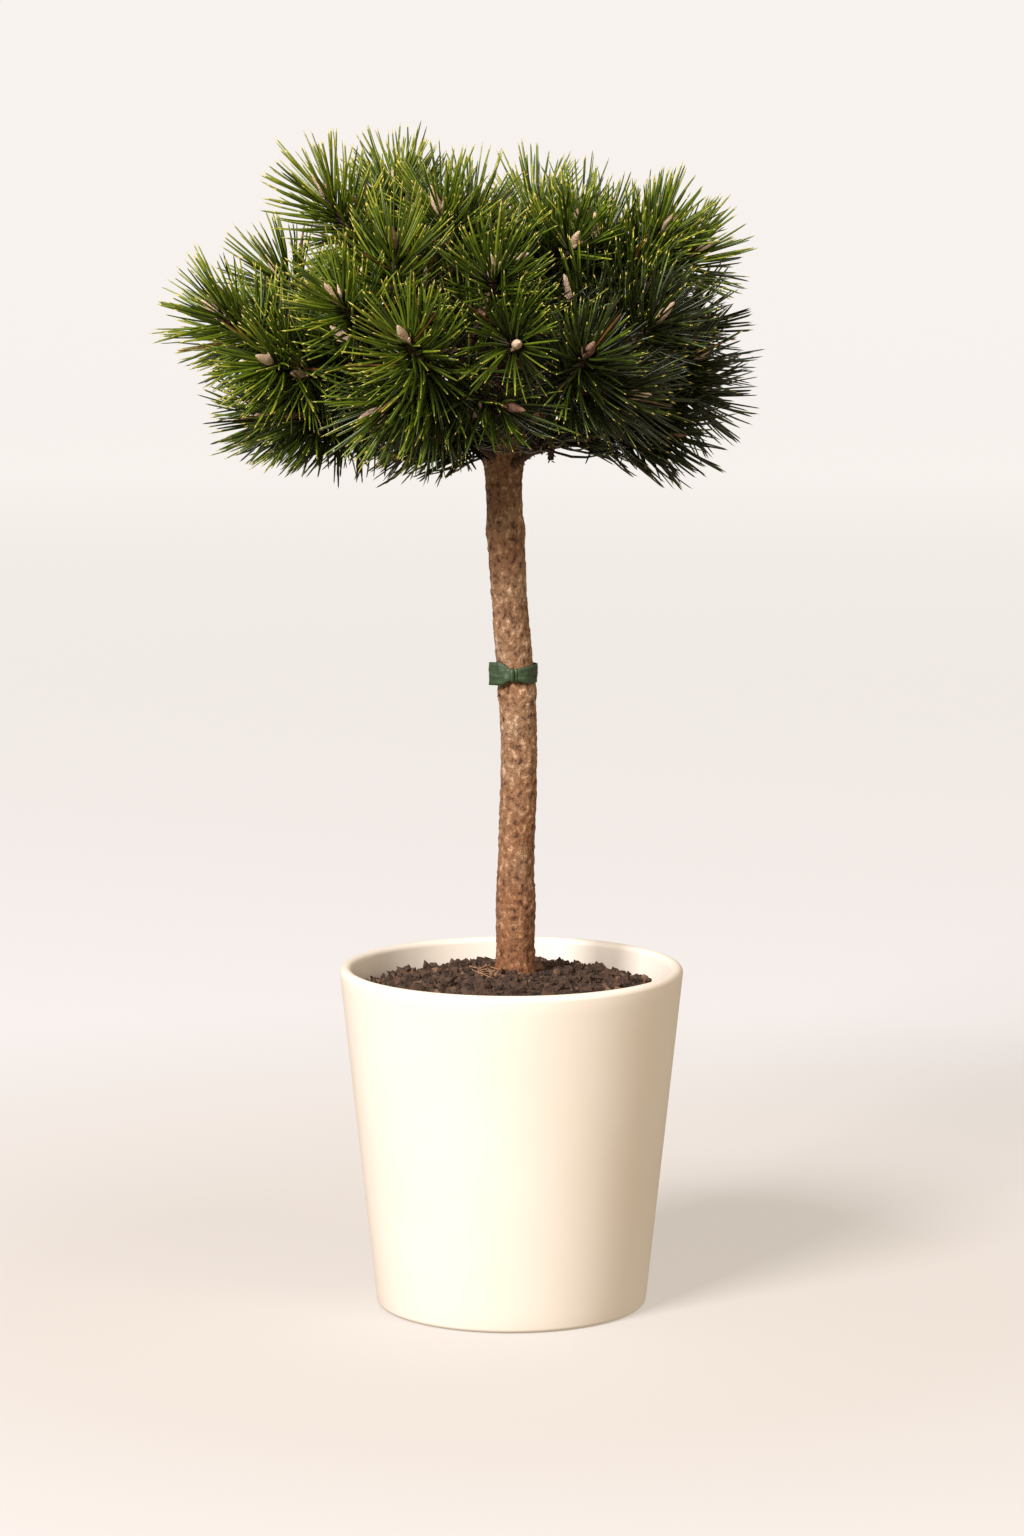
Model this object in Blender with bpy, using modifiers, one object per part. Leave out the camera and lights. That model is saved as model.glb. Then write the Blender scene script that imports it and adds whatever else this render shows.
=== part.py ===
"""A dwarf mountain pine grafted on a bare stem, standing in a tapered round pot.

The pot stands on its flat underside, whose centre is the origin. Metres, +Z up, front towards -Y.
Each bough leaves the stem's head and ends where its mass of foliage begins. A mass is one leading
shoot with side shoots, and every shoot is a slim core that tapering needles stand out of.
"""

import math
import random
from collections import namedtuple

import bmesh
import bpy
import numpy as np
from mathutils import Matrix, Vector

# Pot
POT_HEIGHT = 0.240
POT_RIM_RADIUS = 0.120
POT_FOOT_RADIUS = 0.095
POT_WALL = 0.0085
POT_FLOOR = 0.012
POT_FOOT_ROUND = 0.003
POT_SIDES = 44
LIP_ARC_STEPS = 5
FOOT_ARC_STEPS = 2

# Soil, a low mound inside the pot
SOIL_EDGE_DROP = 0.021
SOIL_CENTRE_DROP = 0.006
SOIL_SEAT_RADIUS = 0.020
SOIL_RINGS = 5
SOIL_LUMP = 0.0012
SOIL_LUMP_WAVES = 7

# Stem: (height, sideways, towards the back) of its middle line, from the soil to its tip
STEM_LINE = (
    (0.2343, 0.0028, 0.0000),
    (0.3000, 0.0030, 0.0008),
    (0.3700, 0.0052, 0.0015),
    (0.4250, 0.0044, 0.0010),
    (0.4900, -0.0010, -0.0010),
    (0.5500, -0.0043, -0.0018),
    (0.6000, -0.0053, -0.0010),
    (0.6750, -0.0040, 0.0000),
)
STEM_RADIUS = 0.0126
STEM_FLARE = 0.0028
STEM_FLARE_HEIGHT = 0.020
STEM_HEAD_RADIUS = 0.0158
STEM_HEAD_FOOT = 0.575
STEM_HEAD_TOP = 0.640
STEM_TIP_RADIUS = 0.0065
STEM_RINGS = 22
STEM_SIDES = 12
# Old branch whorls: (height, how far the ring stands out, half its width)
STEM_WHORLS = ((0.283, 0.0010, 0.018), (0.432, 0.0010, 0.006), (0.545, 0.0012, 0.006))

# Tie, a strip of plastic tape wound round the stem and pinched at the front
TIE_HEIGHT = 0.4460
TIE_WIDTH = 0.0125
TIE_INNER_RADIUS = 0.0143
TIE_THICKNESS = 0.0009
TIE_PINCH_ANGLE = -98.0
TIE_PINCH_WIDTH = 0.006
TIE_TAB_REACH = 64.0
TIE_TAB_WIDTH = 0.0165
TIE_TAB_FLARE = 0.0036
TIE_STEPS = 24

# Crown
CROWN_CENTRE = Vector((-0.0045, 0.0, 0.638))
BOUGH_ROOT_HEIGHTS = (0.588, 0.660)
BOUGH_ROOT_ELEVATIONS = (-20.0, 62.0)
BOUGH_ROOT_SPACING = 0.0145
BOUGH_BASE_RADIUS = 0.0046
BOUGH_TIP_RADIUS = 0.0034
BOUGH_SHARE = 0.40
BOUGH_SIDES = 6
TWIG_RADIUS = 0.0030
SHOOT_RADIUS = 0.0024
SIDE_SHOOT_START = 0.52
SIDE_SHOOT_TURN = 150.0
LIGHT_TURN = 0.42
LIGHT_FROM_ELEVATION = -8.0
LIGHT_FULL_ELEVATION = 22.0
LIMB_POINTS = 5
GAP = 0.0003

# Buds and needles. A needle of the model stands for a few real ones, so it is a broad blade.
BUD_LENGTH = 0.020
BUD_RADIUS = 0.0028
NEEDLE_LENGTH = 0.056
NEEDLE_WIDTH = 0.0098
NEEDLE_THICKNESS = 0.0016
NEEDLE_WIDEST = 0.52
NEEDLED_LENGTH = 0.046
OLD_NEEDLED_LENGTH = 0.045
NEEDLES_ON_SHOOT = 17
OLD_NEEDLES_ON_SHOOT = 4
LEAN_AT_BUD = 20.0
LEAN_AT_FOOT = 80.0
LEAN_OF_OLD = 96.0
GOLDEN_ANGLE = 137.508
SPACE_MARGIN = 0.0016
LIMB_CLEARANCE = 0.0012
SEED = 21

# A mass of foliage: where its leading shoot ends, seen from the crown's centre (azimuth from +X,
# elevation, reach), the roll and spread of its side shoots, their share of its reach, how many
# shoots it has, and whether a bough carries it or it starts on the stem.
Mass = namedtuple("Mass", "name azimuth elevation reach roll spread side_reach shoots on_bough")
MASSES = (
    Mass("left", -161, 18, 0.226, 114, 18, 0.92, 3, True),
    Mass("left_low", -177, -5, 0.183, 87, 22, 0.91, 2, True),
    Mass("top_left", -159, 48, 0.206, -29, 20, 0.84, 2, True),
    Mass("front_left", -128, 24, 0.208, 21, 16, 0.92, 2, True),
    Mass("front_centre_left", -110, 16, 0.210, -139, 22, 0.80, 2, True),
    Mass("front_low", -120, -14, 0.108, 178, 20, 0.90, 1, False),
    Mass("top_front", -129, 62, 0.165, -9, 20, 0.86, 2, True),
    Mass("front_centre", -94, 38, 0.167, 163, 23, 1.13, 2, True),
    Mass("top_centre", 0, 69, 0.139, -95, 23, 1.00, 3, True),
    Mass("top_right", -14, 47, 0.175, 150, 10, 1.02, 2, True),
    Mass("right_front", -42, 25, 0.166, 36, 19, 0.87, 2, True),
    Mass("front_right", -72, 14, 0.195, 119, 20, 0.84, 2, True),
    Mass("right", -4, 14, 0.147, 132, 21, 1.04, 2, True),
    Mass("right_low", -13, -12, 0.131, -112, 17, 0.80, 2, False),
    Mass("front_low_right", -60, -20, 0.100, 100, 30, 0.95, 1, False),
    Mass("back_left_top", 128, 48, 0.196, 40, 22, 0.90, 3, True),
    Mass("back_left", 146, 16, 0.214, -100, 22, 0.92, 3, True),
    Mass("back_top", 74, 58, 0.168, 200, 22, 0.95, 2, True),
    Mass("back", 97, 20, 0.206, -100, 22, 0.90, 3, True),
    Mass("back_right", 52, 18, 0.190, -80, 24, 0.90, 3, True),
    Mass("back_right_top", 26, 44, 0.176, 40, 22, 0.90, 2, True),
    Mass("back_low_left", 136, -13, 0.128, 170, 26, 0.85, 2, False),
    Mass("back_low_right", 60, -15, 0.122, 170, 26, 0.85, 2, False),
)

# Base colour, roughness
MATERIALS = {
    "pot_glaze": ((0.86, 0.79, 0.68), 0.35),
    "potting_soil": ((0.055, 0.036, 0.028), 0.95),
    "bark": ((0.30, 0.18, 0.11), 0.85),
    "tie_tape": ((0.055, 0.095, 0.055), 0.55),
    "needles": ((0.07, 0.16, 0.03), 0.5),
}


def clear_scene():
    """Removes every object, so that the model starts from nothing."""
    for obj in list(bpy.data.objects):
        bpy.data.objects.remove(obj)


def new_collection(name):
    collection = bpy.data.collections.new(name)
    bpy.context.scene.collection.children.link(collection)
    return collection


def make_materials():
    made = {}
    for name, (colour, roughness) in MATERIALS.items():
        material = bpy.data.materials.new(name)
        material.use_nodes = True
        shader = material.node_tree.nodes["Principled BSDF"]
        shader.inputs["Base Color"].default_value = (*colour, 1.0)
        shader.inputs["Roughness"].default_value = roughness
        shader.inputs["Metallic"].default_value = 0.0
        made[name] = material
    return made


def add_object(name, mesh, collection, material=None):
    obj = bpy.data.objects.new(name, mesh)
    collection.objects.link(obj)
    if material:
        mesh.materials.clear()
        mesh.materials.append(material)
    return obj


def evaluated_mesh(obj):
    """The object's mesh with its modifiers or its bevel applied, in its own space."""
    bpy.context.view_layer.update()
    graph = bpy.context.evaluated_depsgraph_get()
    return bpy.data.meshes.new_from_object(obj.evaluated_get(graph))


def welded(mesh, distance=1e-6):
    shape = bmesh.new()
    shape.from_mesh(mesh)
    bmesh.ops.remove_doubles(shape, verts=shape.verts, dist=distance)
    bmesh.ops.recalc_face_normals(shape, faces=shape.faces)
    shape.to_mesh(mesh)
    shape.free()
    return mesh


def smooth(mesh, angle=50.0):
    mesh.shade_smooth()
    mesh.set_sharp_from_angle(angle=math.radians(angle))


def turned(name, profile, sides, collection, material):
    """A solid turned about +Z. The profile is (radius, height) from axis to axis, down its outer side."""
    mesh = bpy.data.meshes.new(name)
    points = [(radius, 0.0, height) for radius, height in profile]
    mesh.from_pydata(points, [(i, i + 1) for i in range(len(points) - 1)], [])
    obj = add_object(name, mesh, collection)
    screw = obj.modifiers.new("turn", "SCREW")
    screw.steps = sides
    screw.render_steps = sides
    screw.use_merge_vertices = True
    screw.merge_threshold = 0.00001
    solid = welded(evaluated_mesh(obj))
    bpy.data.objects.remove(obj)
    smooth(solid)
    return add_object(name, solid, collection, material)


def tube(name, points, radii, sides, collection):
    """A tapering limb along the points, made as a bevelled curve and turned into a closed mesh."""
    curve = bpy.data.curves.new(name, "CURVE")
    curve.dimensions = "3D"
    curve.bevel_depth = 1.0
    curve.bevel_resolution = (sides - 4) // 2
    curve.use_fill_caps = True
    spline = curve.splines.new("POLY")
    spline.points.add(len(points) - 1)
    for point, place, radius in zip(spline.points, points, radii):
        point.co = (*place, 1.0)
        point.radius = radius
    obj = add_object(name, curve, collection)
    mesh = welded(evaluated_mesh(obj))
    bpy.data.objects.remove(obj)
    return add_object(name, mesh, collection)


def boolean(obj, operation, operand):
    """Applies a union with a collection, or a difference with one cutter, to obj."""
    modifier = obj.modifiers.new("join", "BOOLEAN")
    modifier.operation = operation
    modifier.solver = "EXACT"
    if isinstance(operand, bpy.types.Collection):
        modifier.operand_type = "COLLECTION"
        modifier.collection = operand
    else:
        modifier.object = operand
    mesh = evaluated_mesh(obj)
    obj.modifiers.clear()
    obj.data = mesh


def keep_largest(mesh):
    """Leaves only the largest body, so that no loose scrap and no sealed hollow remains."""
    shape = bmesh.new()
    shape.from_mesh(mesh)
    left = set(shape.verts)
    bodies = []
    while left:
        body = {left.pop()}
        front = list(body)
        while front:
            near = [e.other_vert(v) for v in front for e in v.link_edges]
            front = [v for v in set(near) if v in left]
            left.difference_update(front)
            body.update(front)
        bodies.append(body)
    bodies.sort(key=len)
    extra = [v for body in bodies[:-1] for v in body]
    bmesh.ops.delete(shape, geom=extra, context="VERTS")
    shape.to_mesh(mesh)
    shape.free()


def arc(centre, radius, start, end, steps):
    """Points (radius, height) on an arc, from one angle in degrees to another."""
    angles = np.radians(np.linspace(start, end, steps + 1))
    return [(centre[0] + radius * math.cos(a), centre[1] + radius * math.sin(a)) for a in angles]


def pot_inner_radius(height):
    """The radius of the pot's inside at a height: the outer taper less the wall."""
    share = height / POT_HEIGHT
    return POT_FOOT_RADIUS + (POT_RIM_RADIUS - POT_FOOT_RADIUS) * share - POT_WALL


def make_pot(collection, material):
    lip = POT_WALL / 2
    lip_centre = (POT_RIM_RADIUS - lip, POT_HEIGHT - lip)
    foot_centre = (POT_FOOT_RADIUS - POT_FOOT_ROUND, POT_FOOT_ROUND)
    profile = [(0.0, POT_FLOOR), (pot_inner_radius(POT_FLOOR), POT_FLOOR)]
    profile += arc(lip_centre, lip, 180, 0, LIP_ARC_STEPS)
    profile += arc(foot_centre, POT_FOOT_ROUND, 0, -90, FOOT_ARC_STEPS)
    profile += [(0.0, 0.0)]
    return turned("pot", profile, POT_SIDES, collection, material)


def make_soil(collection, material):
    """The filling of the pot: a turned plug whose mounded top is then made lumpy."""
    edge = POT_HEIGHT - SOIL_EDGE_DROP
    centre = POT_HEIGHT - SOIL_CENTRE_DROP
    edge_radius = pot_inner_radius(edge) - GAP
    foot_radius = pot_inner_radius(POT_FLOOR) - GAP
    profile = [(0.0, centre)]
    for ring in range(SOIL_RINGS + 1):
        share = ring / SOIL_RINGS
        radius = SOIL_SEAT_RADIUS + (edge_radius - SOIL_SEAT_RADIUS) * share
        profile.append((radius, edge + (centre - edge) * (1 - share**1.6)))
    profile += [(foot_radius, POT_FLOOR + GAP), (0.0, POT_FLOOR + GAP)]
    soil = turned("soil", profile, POT_SIDES, collection, material)
    rng = random.Random(SEED)
    waves = [
        (rng.uniform(40, 150), rng.uniform(0, 2 * math.pi), rng.uniform(0, 2 * math.pi))
        for _ in range(SOIL_LUMP_WAVES)
    ]
    for vertex in soil.data.vertices:
        x, y, z = vertex.co
        radius = math.hypot(x, y)
        if z < edge - GAP or not SOIL_SEAT_RADIUS * 1.2 < radius < edge_radius * 0.99:
            continue
        lump = sum(
            math.sin(k * (x * math.cos(turn) + y * math.sin(turn)) + phase) for k, turn, phase in waves
        )
        vertex.co.z += SOIL_LUMP * lump / math.sqrt(SOIL_LUMP_WAVES)
    return soil


def along(stations, share):
    """A smooth line through the stations (Catmull-Rom), at shares from 0 to 1 by station."""
    knots = np.array(stations, float)
    knots = np.vstack([2 * knots[0] - knots[1], knots, 2 * knots[-1] - knots[-2]])
    place = np.clip(np.asarray(share, float), 0, 1) * (len(stations) - 1)
    first = np.minimum(place.astype(int), len(stations) - 2)
    t = (place - first)[..., None]
    a, b, c, d = (knots[first + i] for i in range(4))
    return 0.5 * (2 * b + (c - a) * t + (2 * a - 5 * b + 4 * c - d) * t**2 + (3 * (b - c) + d - a) * t**3)


def stem_radius(height):
    """The stem's radius: slim shaft, root flare, old whorls, the grafted head and its tapering tip."""
    foot, top = STEM_LINE[0][0], STEM_LINE[-1][0]
    radius = STEM_RADIUS + STEM_FLARE * math.exp(-(height - foot) / STEM_FLARE_HEIGHT)
    for place, rise, half in STEM_WHORLS:
        radius += rise * math.exp(-(((height - place) / half) ** 2))
    if height > STEM_HEAD_FOOT:
        swell = min(1.0, (height - STEM_HEAD_FOOT) / 0.03)
        radius += (STEM_HEAD_RADIUS - STEM_RADIUS) * swell * swell * (3 - 2 * swell)
    if height > STEM_HEAD_TOP:
        taper = (height - STEM_HEAD_TOP) / (top - STEM_HEAD_TOP)
        radius += (STEM_TIP_RADIUS - radius) * taper
    return radius


def stem_points(count):
    """Points (x, y, z) and radii along the stem. The first two stand upright, so its foot is level."""
    line = along(STEM_LINE, np.linspace(0, 1, count))
    points = [Vector((x, y, z)) for z, x, y in line]
    points[1].x, points[1].y = points[0].x, points[0].y
    return points, [stem_radius(point.z) for point in points]


def stem_at(height):
    """The middle of the stem at a height."""
    line = along(STEM_LINE, np.linspace(0, 1, 120))
    return Vector((np.interp(height, line[:, 0], line[:, 1]), np.interp(height, line[:, 0], line[:, 2]), height))


def make_stem(collection, material):
    points, radii = stem_points(STEM_RINGS)
    stem = tube("trunk", points, radii, STEM_SIDES, collection)
    smooth(stem.data)
    stem.data.materials.append(material)
    return stem


def strip(name, angles, radius_at, half_at, collection):
    """A band of tape standing on edge round the stem, with its thickness outside radius_at."""
    middle = stem_at(TIE_HEIGHT)
    points, faces = [], []
    for angle in angles:
        radius, half = radius_at(angle), half_at(angle)
        turn = math.radians(angle)
        edge = middle + Vector((math.cos(turn), math.sin(turn), 0)) * radius
        points += [edge + Vector((0, 0, half)), edge - Vector((0, 0, half))]
    closed = abs(angles[-1] - angles[0]) > 359
    count = len(angles) - closed
    for i in range(len(angles) - 1):
        a, b = 2 * i, 2 * ((i + 1) % count)
        faces.append((a, a + 1, b + 1, b))
    mesh = bpy.data.meshes.new(name)
    mesh.from_pydata([tuple(p) for p in points[: 2 * count]], [], faces)
    obj = add_object(name, mesh, collection)
    solidify = obj.modifiers.new("thickness", "SOLIDIFY")
    solidify.thickness = TIE_THICKNESS
    solidify.offset = 1.0
    solid = welded(evaluated_mesh(obj))
    bpy.data.objects.remove(obj)
    return add_object(name, solid, collection)


def make_tie(collection, material):
    """The loop round the stem, pinched at the front, and its free end flaring out to the left."""

    def loop_half(angle):
        away = min(abs(angle - TIE_PINCH_ANGLE), 360 - abs(angle - TIE_PINCH_ANGLE))
        open_share = min(1.0, away / 45)
        return (TIE_PINCH_WIDTH + (TIE_WIDTH - TIE_PINCH_WIDTH) * open_share**0.7) / 2

    def tab_share(angle):
        return abs(angle - TIE_PINCH_ANGLE) / TIE_TAB_REACH

    def tab_half(angle):
        return (TIE_PINCH_WIDTH + (TIE_TAB_WIDTH - TIE_PINCH_WIDTH) * min(1.0, 2.4 * tab_share(angle))) / 2

    def tab_radius(angle):
        return TIE_INNER_RADIUS + TIE_THICKNESS / 2 + TIE_TAB_FLARE * tab_share(angle) ** 1.5

    pieces = new_collection("tie_pieces")
    start = TIE_PINCH_ANGLE
    loop = strip("tie", np.linspace(start, start + 360, TIE_STEPS + 1), lambda a: TIE_INNER_RADIUS, loop_half, collection)
    strip("tab", np.linspace(start + 12, start - TIE_TAB_REACH, 8), tab_radius, tab_half, pieces)
    boolean(loop, "UNION", pieces)
    drop(pieces)
    loop.data.materials.clear()
    loop.data.materials.append(material)
    return loop


def drop(collection):
    """Removes a helper collection with its objects."""
    for obj in list(collection.objects):
        bpy.data.objects.remove(obj)
    bpy.data.collections.remove(collection)


def outward(azimuth, elevation):
    """The unit vector at an azimuth from +X and an elevation above the horizon, in degrees."""
    a, e = math.radians(azimuth), math.radians(elevation)
    return Vector((math.cos(a) * math.cos(e), math.sin(a) * math.cos(e), math.sin(e)))


def tilted(mass, roll):
    """The mass's own direction tilted by its spread: roll 0 tilts it up, 90 round the crown."""
    middle = outward(mass.azimuth, mass.elevation)
    up = outward(mass.azimuth, mass.elevation + 90)
    side = up.cross(middle)
    turn, spread = math.radians(roll), math.radians(mass.spread)
    return middle * math.cos(spread) + (up * math.cos(turn) + side * math.sin(turn)) * math.sin(spread)


def bough_roots():
    """Where each limb leaves the stem's head, as (azimuth, height).

    High masses start high. Roots closer than BOUGH_ROOT_SPACING on the bark are then eased apart.
    """
    low, high = BOUGH_ROOT_HEIGHTS
    heights = np.interp([m.elevation for m in MASSES], BOUGH_ROOT_ELEVATIONS, BOUGH_ROOT_HEIGHTS)
    place = np.stack([np.radians([m.azimuth for m in MASSES]) * STEM_HEAD_RADIUS, heights], axis=1)
    round_length = 2 * math.pi * STEM_HEAD_RADIUS
    for _ in range(400):
        apart = place[:, None] - place[None]
        apart[..., 0] -= round_length * np.round(apart[..., 0] / round_length)
        distance = np.linalg.norm(apart, axis=2) + np.eye(len(MASSES))
        push = np.clip(BOUGH_ROOT_SPACING - distance, 0, None) * (1 - np.eye(len(MASSES)))
        place += (apart / distance[..., None] * push[..., None]).sum(axis=1) * 0.3
        place[:, 1] = np.clip(place[:, 1], low, high)
    return [(math.degrees(a / STEM_HEAD_RADIUS), h) for a, h in place]


def bezier(a, b, c, d, share):
    t = np.asarray(share, float)[:, None]
    a, b, c, d = (np.array(p, float) for p in (a, b, c, d))
    return a * (1 - t) ** 3 + 3 * b * t * (1 - t) ** 2 + 3 * c * t**2 * (1 - t) + d * t**3


def shoot_end(mass, index):
    """The bud's tip and the shoot's direction there. Shoot 0 leads; the others tilt round it.

    A shoot turns part of the way up to the light, and the low ones do so less.
    """
    away = outward(mass.azimuth, mass.elevation)
    reach = mass.reach
    if index:
        away = tilted(mass, mass.roll + (index - 1) * SIDE_SHOOT_TURN)
        reach *= mass.side_reach
    azimuth, elevation = math.degrees(math.atan2(away.y, away.x)), math.degrees(math.asin(away.z))
    lit = (elevation - LIGHT_FROM_ELEVATION) / (LIGHT_FULL_ELEVATION - LIGHT_FROM_ELEVATION)
    turn = LIGHT_TURN * min(1.0, max(-0.35, lit))
    return CROWN_CENTRE + away * reach, outward(azimuth, elevation + (90 - elevation) * turn)


def leader_line(mass, root, share):
    """The limb's middle line from the stem's middle to the leading bud: out of the bark, then to the light."""
    azimuth, height = root
    start = stem_at(height)
    tip, heading = shoot_end(mass, 0)
    length = (tip - start).length
    launch = outward(azimuth, max(12.0, min(70.0, mass.elevation * 0.75 + 14)))
    return bezier(start, start + launch * length * 0.34, tip - heading * length * 0.34, tip, share)


def side_line(mass, root, index, share):
    """A side shoot's middle line, from the leader to its own bud."""
    start, ahead = (Vector(p) for p in leader_line(mass, root, [SIDE_SHOOT_START, SIDE_SHOOT_START + 0.05]))
    tip, heading = shoot_end(mass, index)
    length = (tip - start).length
    leave = (ahead - start).normalized()
    return bezier(start, start + leave * length * 0.3, tip - heading * length * 0.4, tip, share)


def shoot_lines(mass, root, count=40):
    """Dense middle lines of a mass's shoots, each from where it leaves its bough or its leader."""
    begin = BOUGH_SHARE if mass.on_bough else stem_share(mass, root)
    lines = [leader_line(mass, root, np.linspace(begin, 1, count))]
    for index in range(1, mass.shoots):
        lines.append(side_line(mass, root, index, np.linspace(0, 1, count)))
    return lines


def stem_share(mass, root):
    """The share of a limb that lies inside the bark of the stem, for a mass with no bough."""
    share = np.linspace(0, 0.6, 241)
    line = leader_line(mass, root, share)
    middle = np.array([stem_at(z)[:] for z in line[:, 2]])
    out = np.linalg.norm(line - middle, axis=1) > stem_radius(root[1]) + TWIG_RADIUS * 0.8 + GAP
    return float(share[np.argmax(out)])


def travelled(line):
    """The distance along a line of points, from its first."""
    return np.concatenate([[0], np.cumsum(np.linalg.norm(np.diff(line, axis=0), axis=1))])


def point_at(line, distance):
    """The point and the heading at a distance along a line of points."""
    run = travelled(line)
    spots = [np.clip(distance + d, 0, run[-1]) for d in (-0.002, 0.0, 0.002)]
    back, here, ahead = (np.array([np.interp(s, run, line[:, i]) for i in range(3)]) for s in spots)
    heading = ahead - back
    return here, heading / np.linalg.norm(heading)


def across(heading, angle):
    """A unit vector square to the heading, at an angle round it in degrees."""
    first = np.cross(heading, (0.0, 0.0, 1.0) if abs(heading[2]) < 0.9 else (1.0, 0.0, 0.0))
    first /= np.linalg.norm(first)
    second = np.cross(heading, first)
    turn = math.radians(angle)
    return first * math.cos(turn) + second * math.sin(turn)


def needle_rays(line, rng):
    """Roots, tips and half widths of a shoot's needles, in a golden spiral from the old wood to the bud.

    Young needles lean forward more the nearer they are to the bud; old ones stand square to the wood.
    """
    run = travelled(line)[-1]
    bud_foot = run - BUD_LENGTH
    spin = rng.uniform(0, 360)
    for i in range(NEEDLES_ON_SHOOT + OLD_NEEDLES_ON_SHOOT):
        young = i - OLD_NEEDLES_ON_SHOOT
        if young >= 0:
            share = (young + 0.5) / NEEDLES_ON_SHOOT
            place = bud_foot - NEEDLED_LENGTH * (1 - share)
            lean = LEAN_AT_FOOT + (LEAN_AT_BUD - LEAN_AT_FOOT) * share**1.3
            length = NEEDLE_LENGTH * rng.uniform(0.88, 1.0)
        else:
            share = (i + 0.5) / OLD_NEEDLES_ON_SHOOT
            place = bud_foot - NEEDLED_LENGTH - OLD_NEEDLED_LENGTH * (1 - share)
            lean = LEAN_OF_OLD
            length = NEEDLE_LENGTH * rng.uniform(0.65, 0.85)
        turn = spin + i * GOLDEN_ANGLE
        lean += rng.uniform(-7, 7)
        roll = rng.uniform(0, 180)
        if place < 0.004:
            continue
        root, heading = point_at(line, place)
        aim = heading * math.cos(math.radians(lean)) + across(heading, turn) * math.sin(math.radians(lean))
        yield root, root + aim * length, across(aim, roll) * NEEDLE_WIDTH / 2


def crown_marks(lines_of_masses):
    """Points along all shoots, with the number of the mass that each belongs to."""
    marks, owners = [], []
    for number, lines in enumerate(lines_of_masses):
        for line in lines:
            picked = line[:: len(line) // 20]
            marks.append(picked)
            owners.append(np.full(len(picked), number))
    return np.vstack(marks), np.concatenate(owners)


def limb_marks(roots):
    """Points along the stem and the boughs, with the limb's radius at each."""
    places, radii = [], []
    points, stem_radii = stem_points(80)
    places.append(np.array([p[:] for p in points]))
    radii.append(np.array(stem_radii))
    for mass, root in zip(MASSES, roots):
        if mass.on_bough:
            line = leader_line(mass, root, np.linspace(0.02, BOUGH_SHARE, 20))
            places.append(line)
            radii.append(np.full(len(line), BOUGH_BASE_RADIUS))
    return np.vstack(places), np.concatenate(radii)


def keeps_clear(number, root, tip, half_width, marks, owners, limbs, limb_radii):
    """True if a needle stays in its mass's space and clear of the stem and the boughs.

    The space of a mass is everything nearer to its own shoots than to those of any other mass.
    """
    middle = root + (tip - root) * np.linspace(0.1, 1.0, 10)[:, None]
    widest = root + (tip - root) * np.array([0.3, 0.52, 0.76])[:, None]
    edge = half_width * np.array([0.58, 1.0, 0.5])[:, None]
    tested = np.vstack([middle, widest + edge, widest - edge])
    distance = np.linalg.norm(tested[:, None] - marks[None], axis=2)
    own = np.where(owners == number, distance, np.inf).min(axis=1)
    other = np.where(owners == number, np.inf, distance).min(axis=1)
    if (other - own < SPACE_MARGIN).any():
        return False
    gap = np.linalg.norm(tested[:, None] - limbs[None], axis=2) - limb_radii
    return bool((gap > LIMB_CLEARANCE).all())


def make_boughs(roots, trunk, collection, material):
    """One tapering limb for each mass that needs one, cut to the stem's bark with a small gap."""
    cutters = new_collection("cutters")
    points, radii = stem_points(STEM_RINGS)
    points.append(points[-1] + Vector((0, 0, GAP * 1.5)))
    radii.append(radii[-1])
    cutter = tube("bark_cutter", points, [r + GAP for r in radii], STEM_SIDES, cutters)
    cutter.hide_render = True
    cutter.display_type = "WIRE"
    for mass, root in zip(MASSES, roots):
        if not mass.on_bough:
            continue
        share = np.linspace(0.0, BOUGH_SHARE, LIMB_POINTS)
        line = leader_line(mass, root, share)
        radii = np.linspace(BOUGH_BASE_RADIUS, BOUGH_TIP_RADIUS, LIMB_POINTS)
        bough = tube("bough_" + mass.name, line, radii, BOUGH_SIDES, collection)
        boolean(bough, "DIFFERENCE", cutter)
        keep_largest(bough.data)
        bough.data.materials.clear()
        bough.data.materials.append(material)
        smooth(bough.data, 70)
    drop(cutters)


def shoot_profile(line, start_gap):
    """Points and radii of a shoot: twig, needled core, waist under the bud, and the pointed bud."""
    run = travelled(line)[-1]
    stations = (
        (start_gap, TWIG_RADIUS),
        (min(run * 0.5, run - BUD_LENGTH * 1.6), TWIG_RADIUS * 0.9),
        (run - BUD_LENGTH * 1.05, SHOOT_RADIUS),
        (run - BUD_LENGTH * 0.6, BUD_RADIUS),
        (run, BUD_RADIUS * 0.2),
    )
    places = [point_at(line, distance)[0] for distance, _ in stations]
    return places, [radius for _, radius in stations]


def needle_mesh():
    """A needle's blade one unit long from the origin up +Z, pointed at both ends and widest in X.

    It starts as a four-sided cone's ring, drawn out to the two points and flattened in Y.
    """
    shape = bmesh.new()
    bmesh.ops.create_uvsphere(shape, u_segments=4, v_segments=2, radius=0.5)
    for vertex in shape.verts:
        along_axis = vertex.co.z + 0.5
        vertex.co.x *= NEEDLE_WIDTH
        vertex.co.y *= NEEDLE_THICKNESS
        vertex.co.z = NEEDLE_WIDEST if abs(along_axis - 0.5) < 0.1 else along_axis
    mesh = bpy.data.meshes.new("needle")
    shape.to_mesh(mesh)
    shape.free()
    return mesh


def place_needle(number, needle, root, tip, half_width, collection):
    """Adds a blade from root to tip, with its width along half_width."""
    aim = Vector(tip - root)
    wide = Vector(half_width).normalized()
    thin = aim.normalized().cross(wide)
    obj = add_object(f"needle_{number}", needle, collection)
    obj.matrix_world = Matrix((
        (wide.x, thin.x, aim.x, root[0]),
        (wide.y, thin.y, aim.y, root[1]),
        (wide.z, thin.z, aim.z, root[2]),
        (0, 0, 0, 1),
    ))


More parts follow.
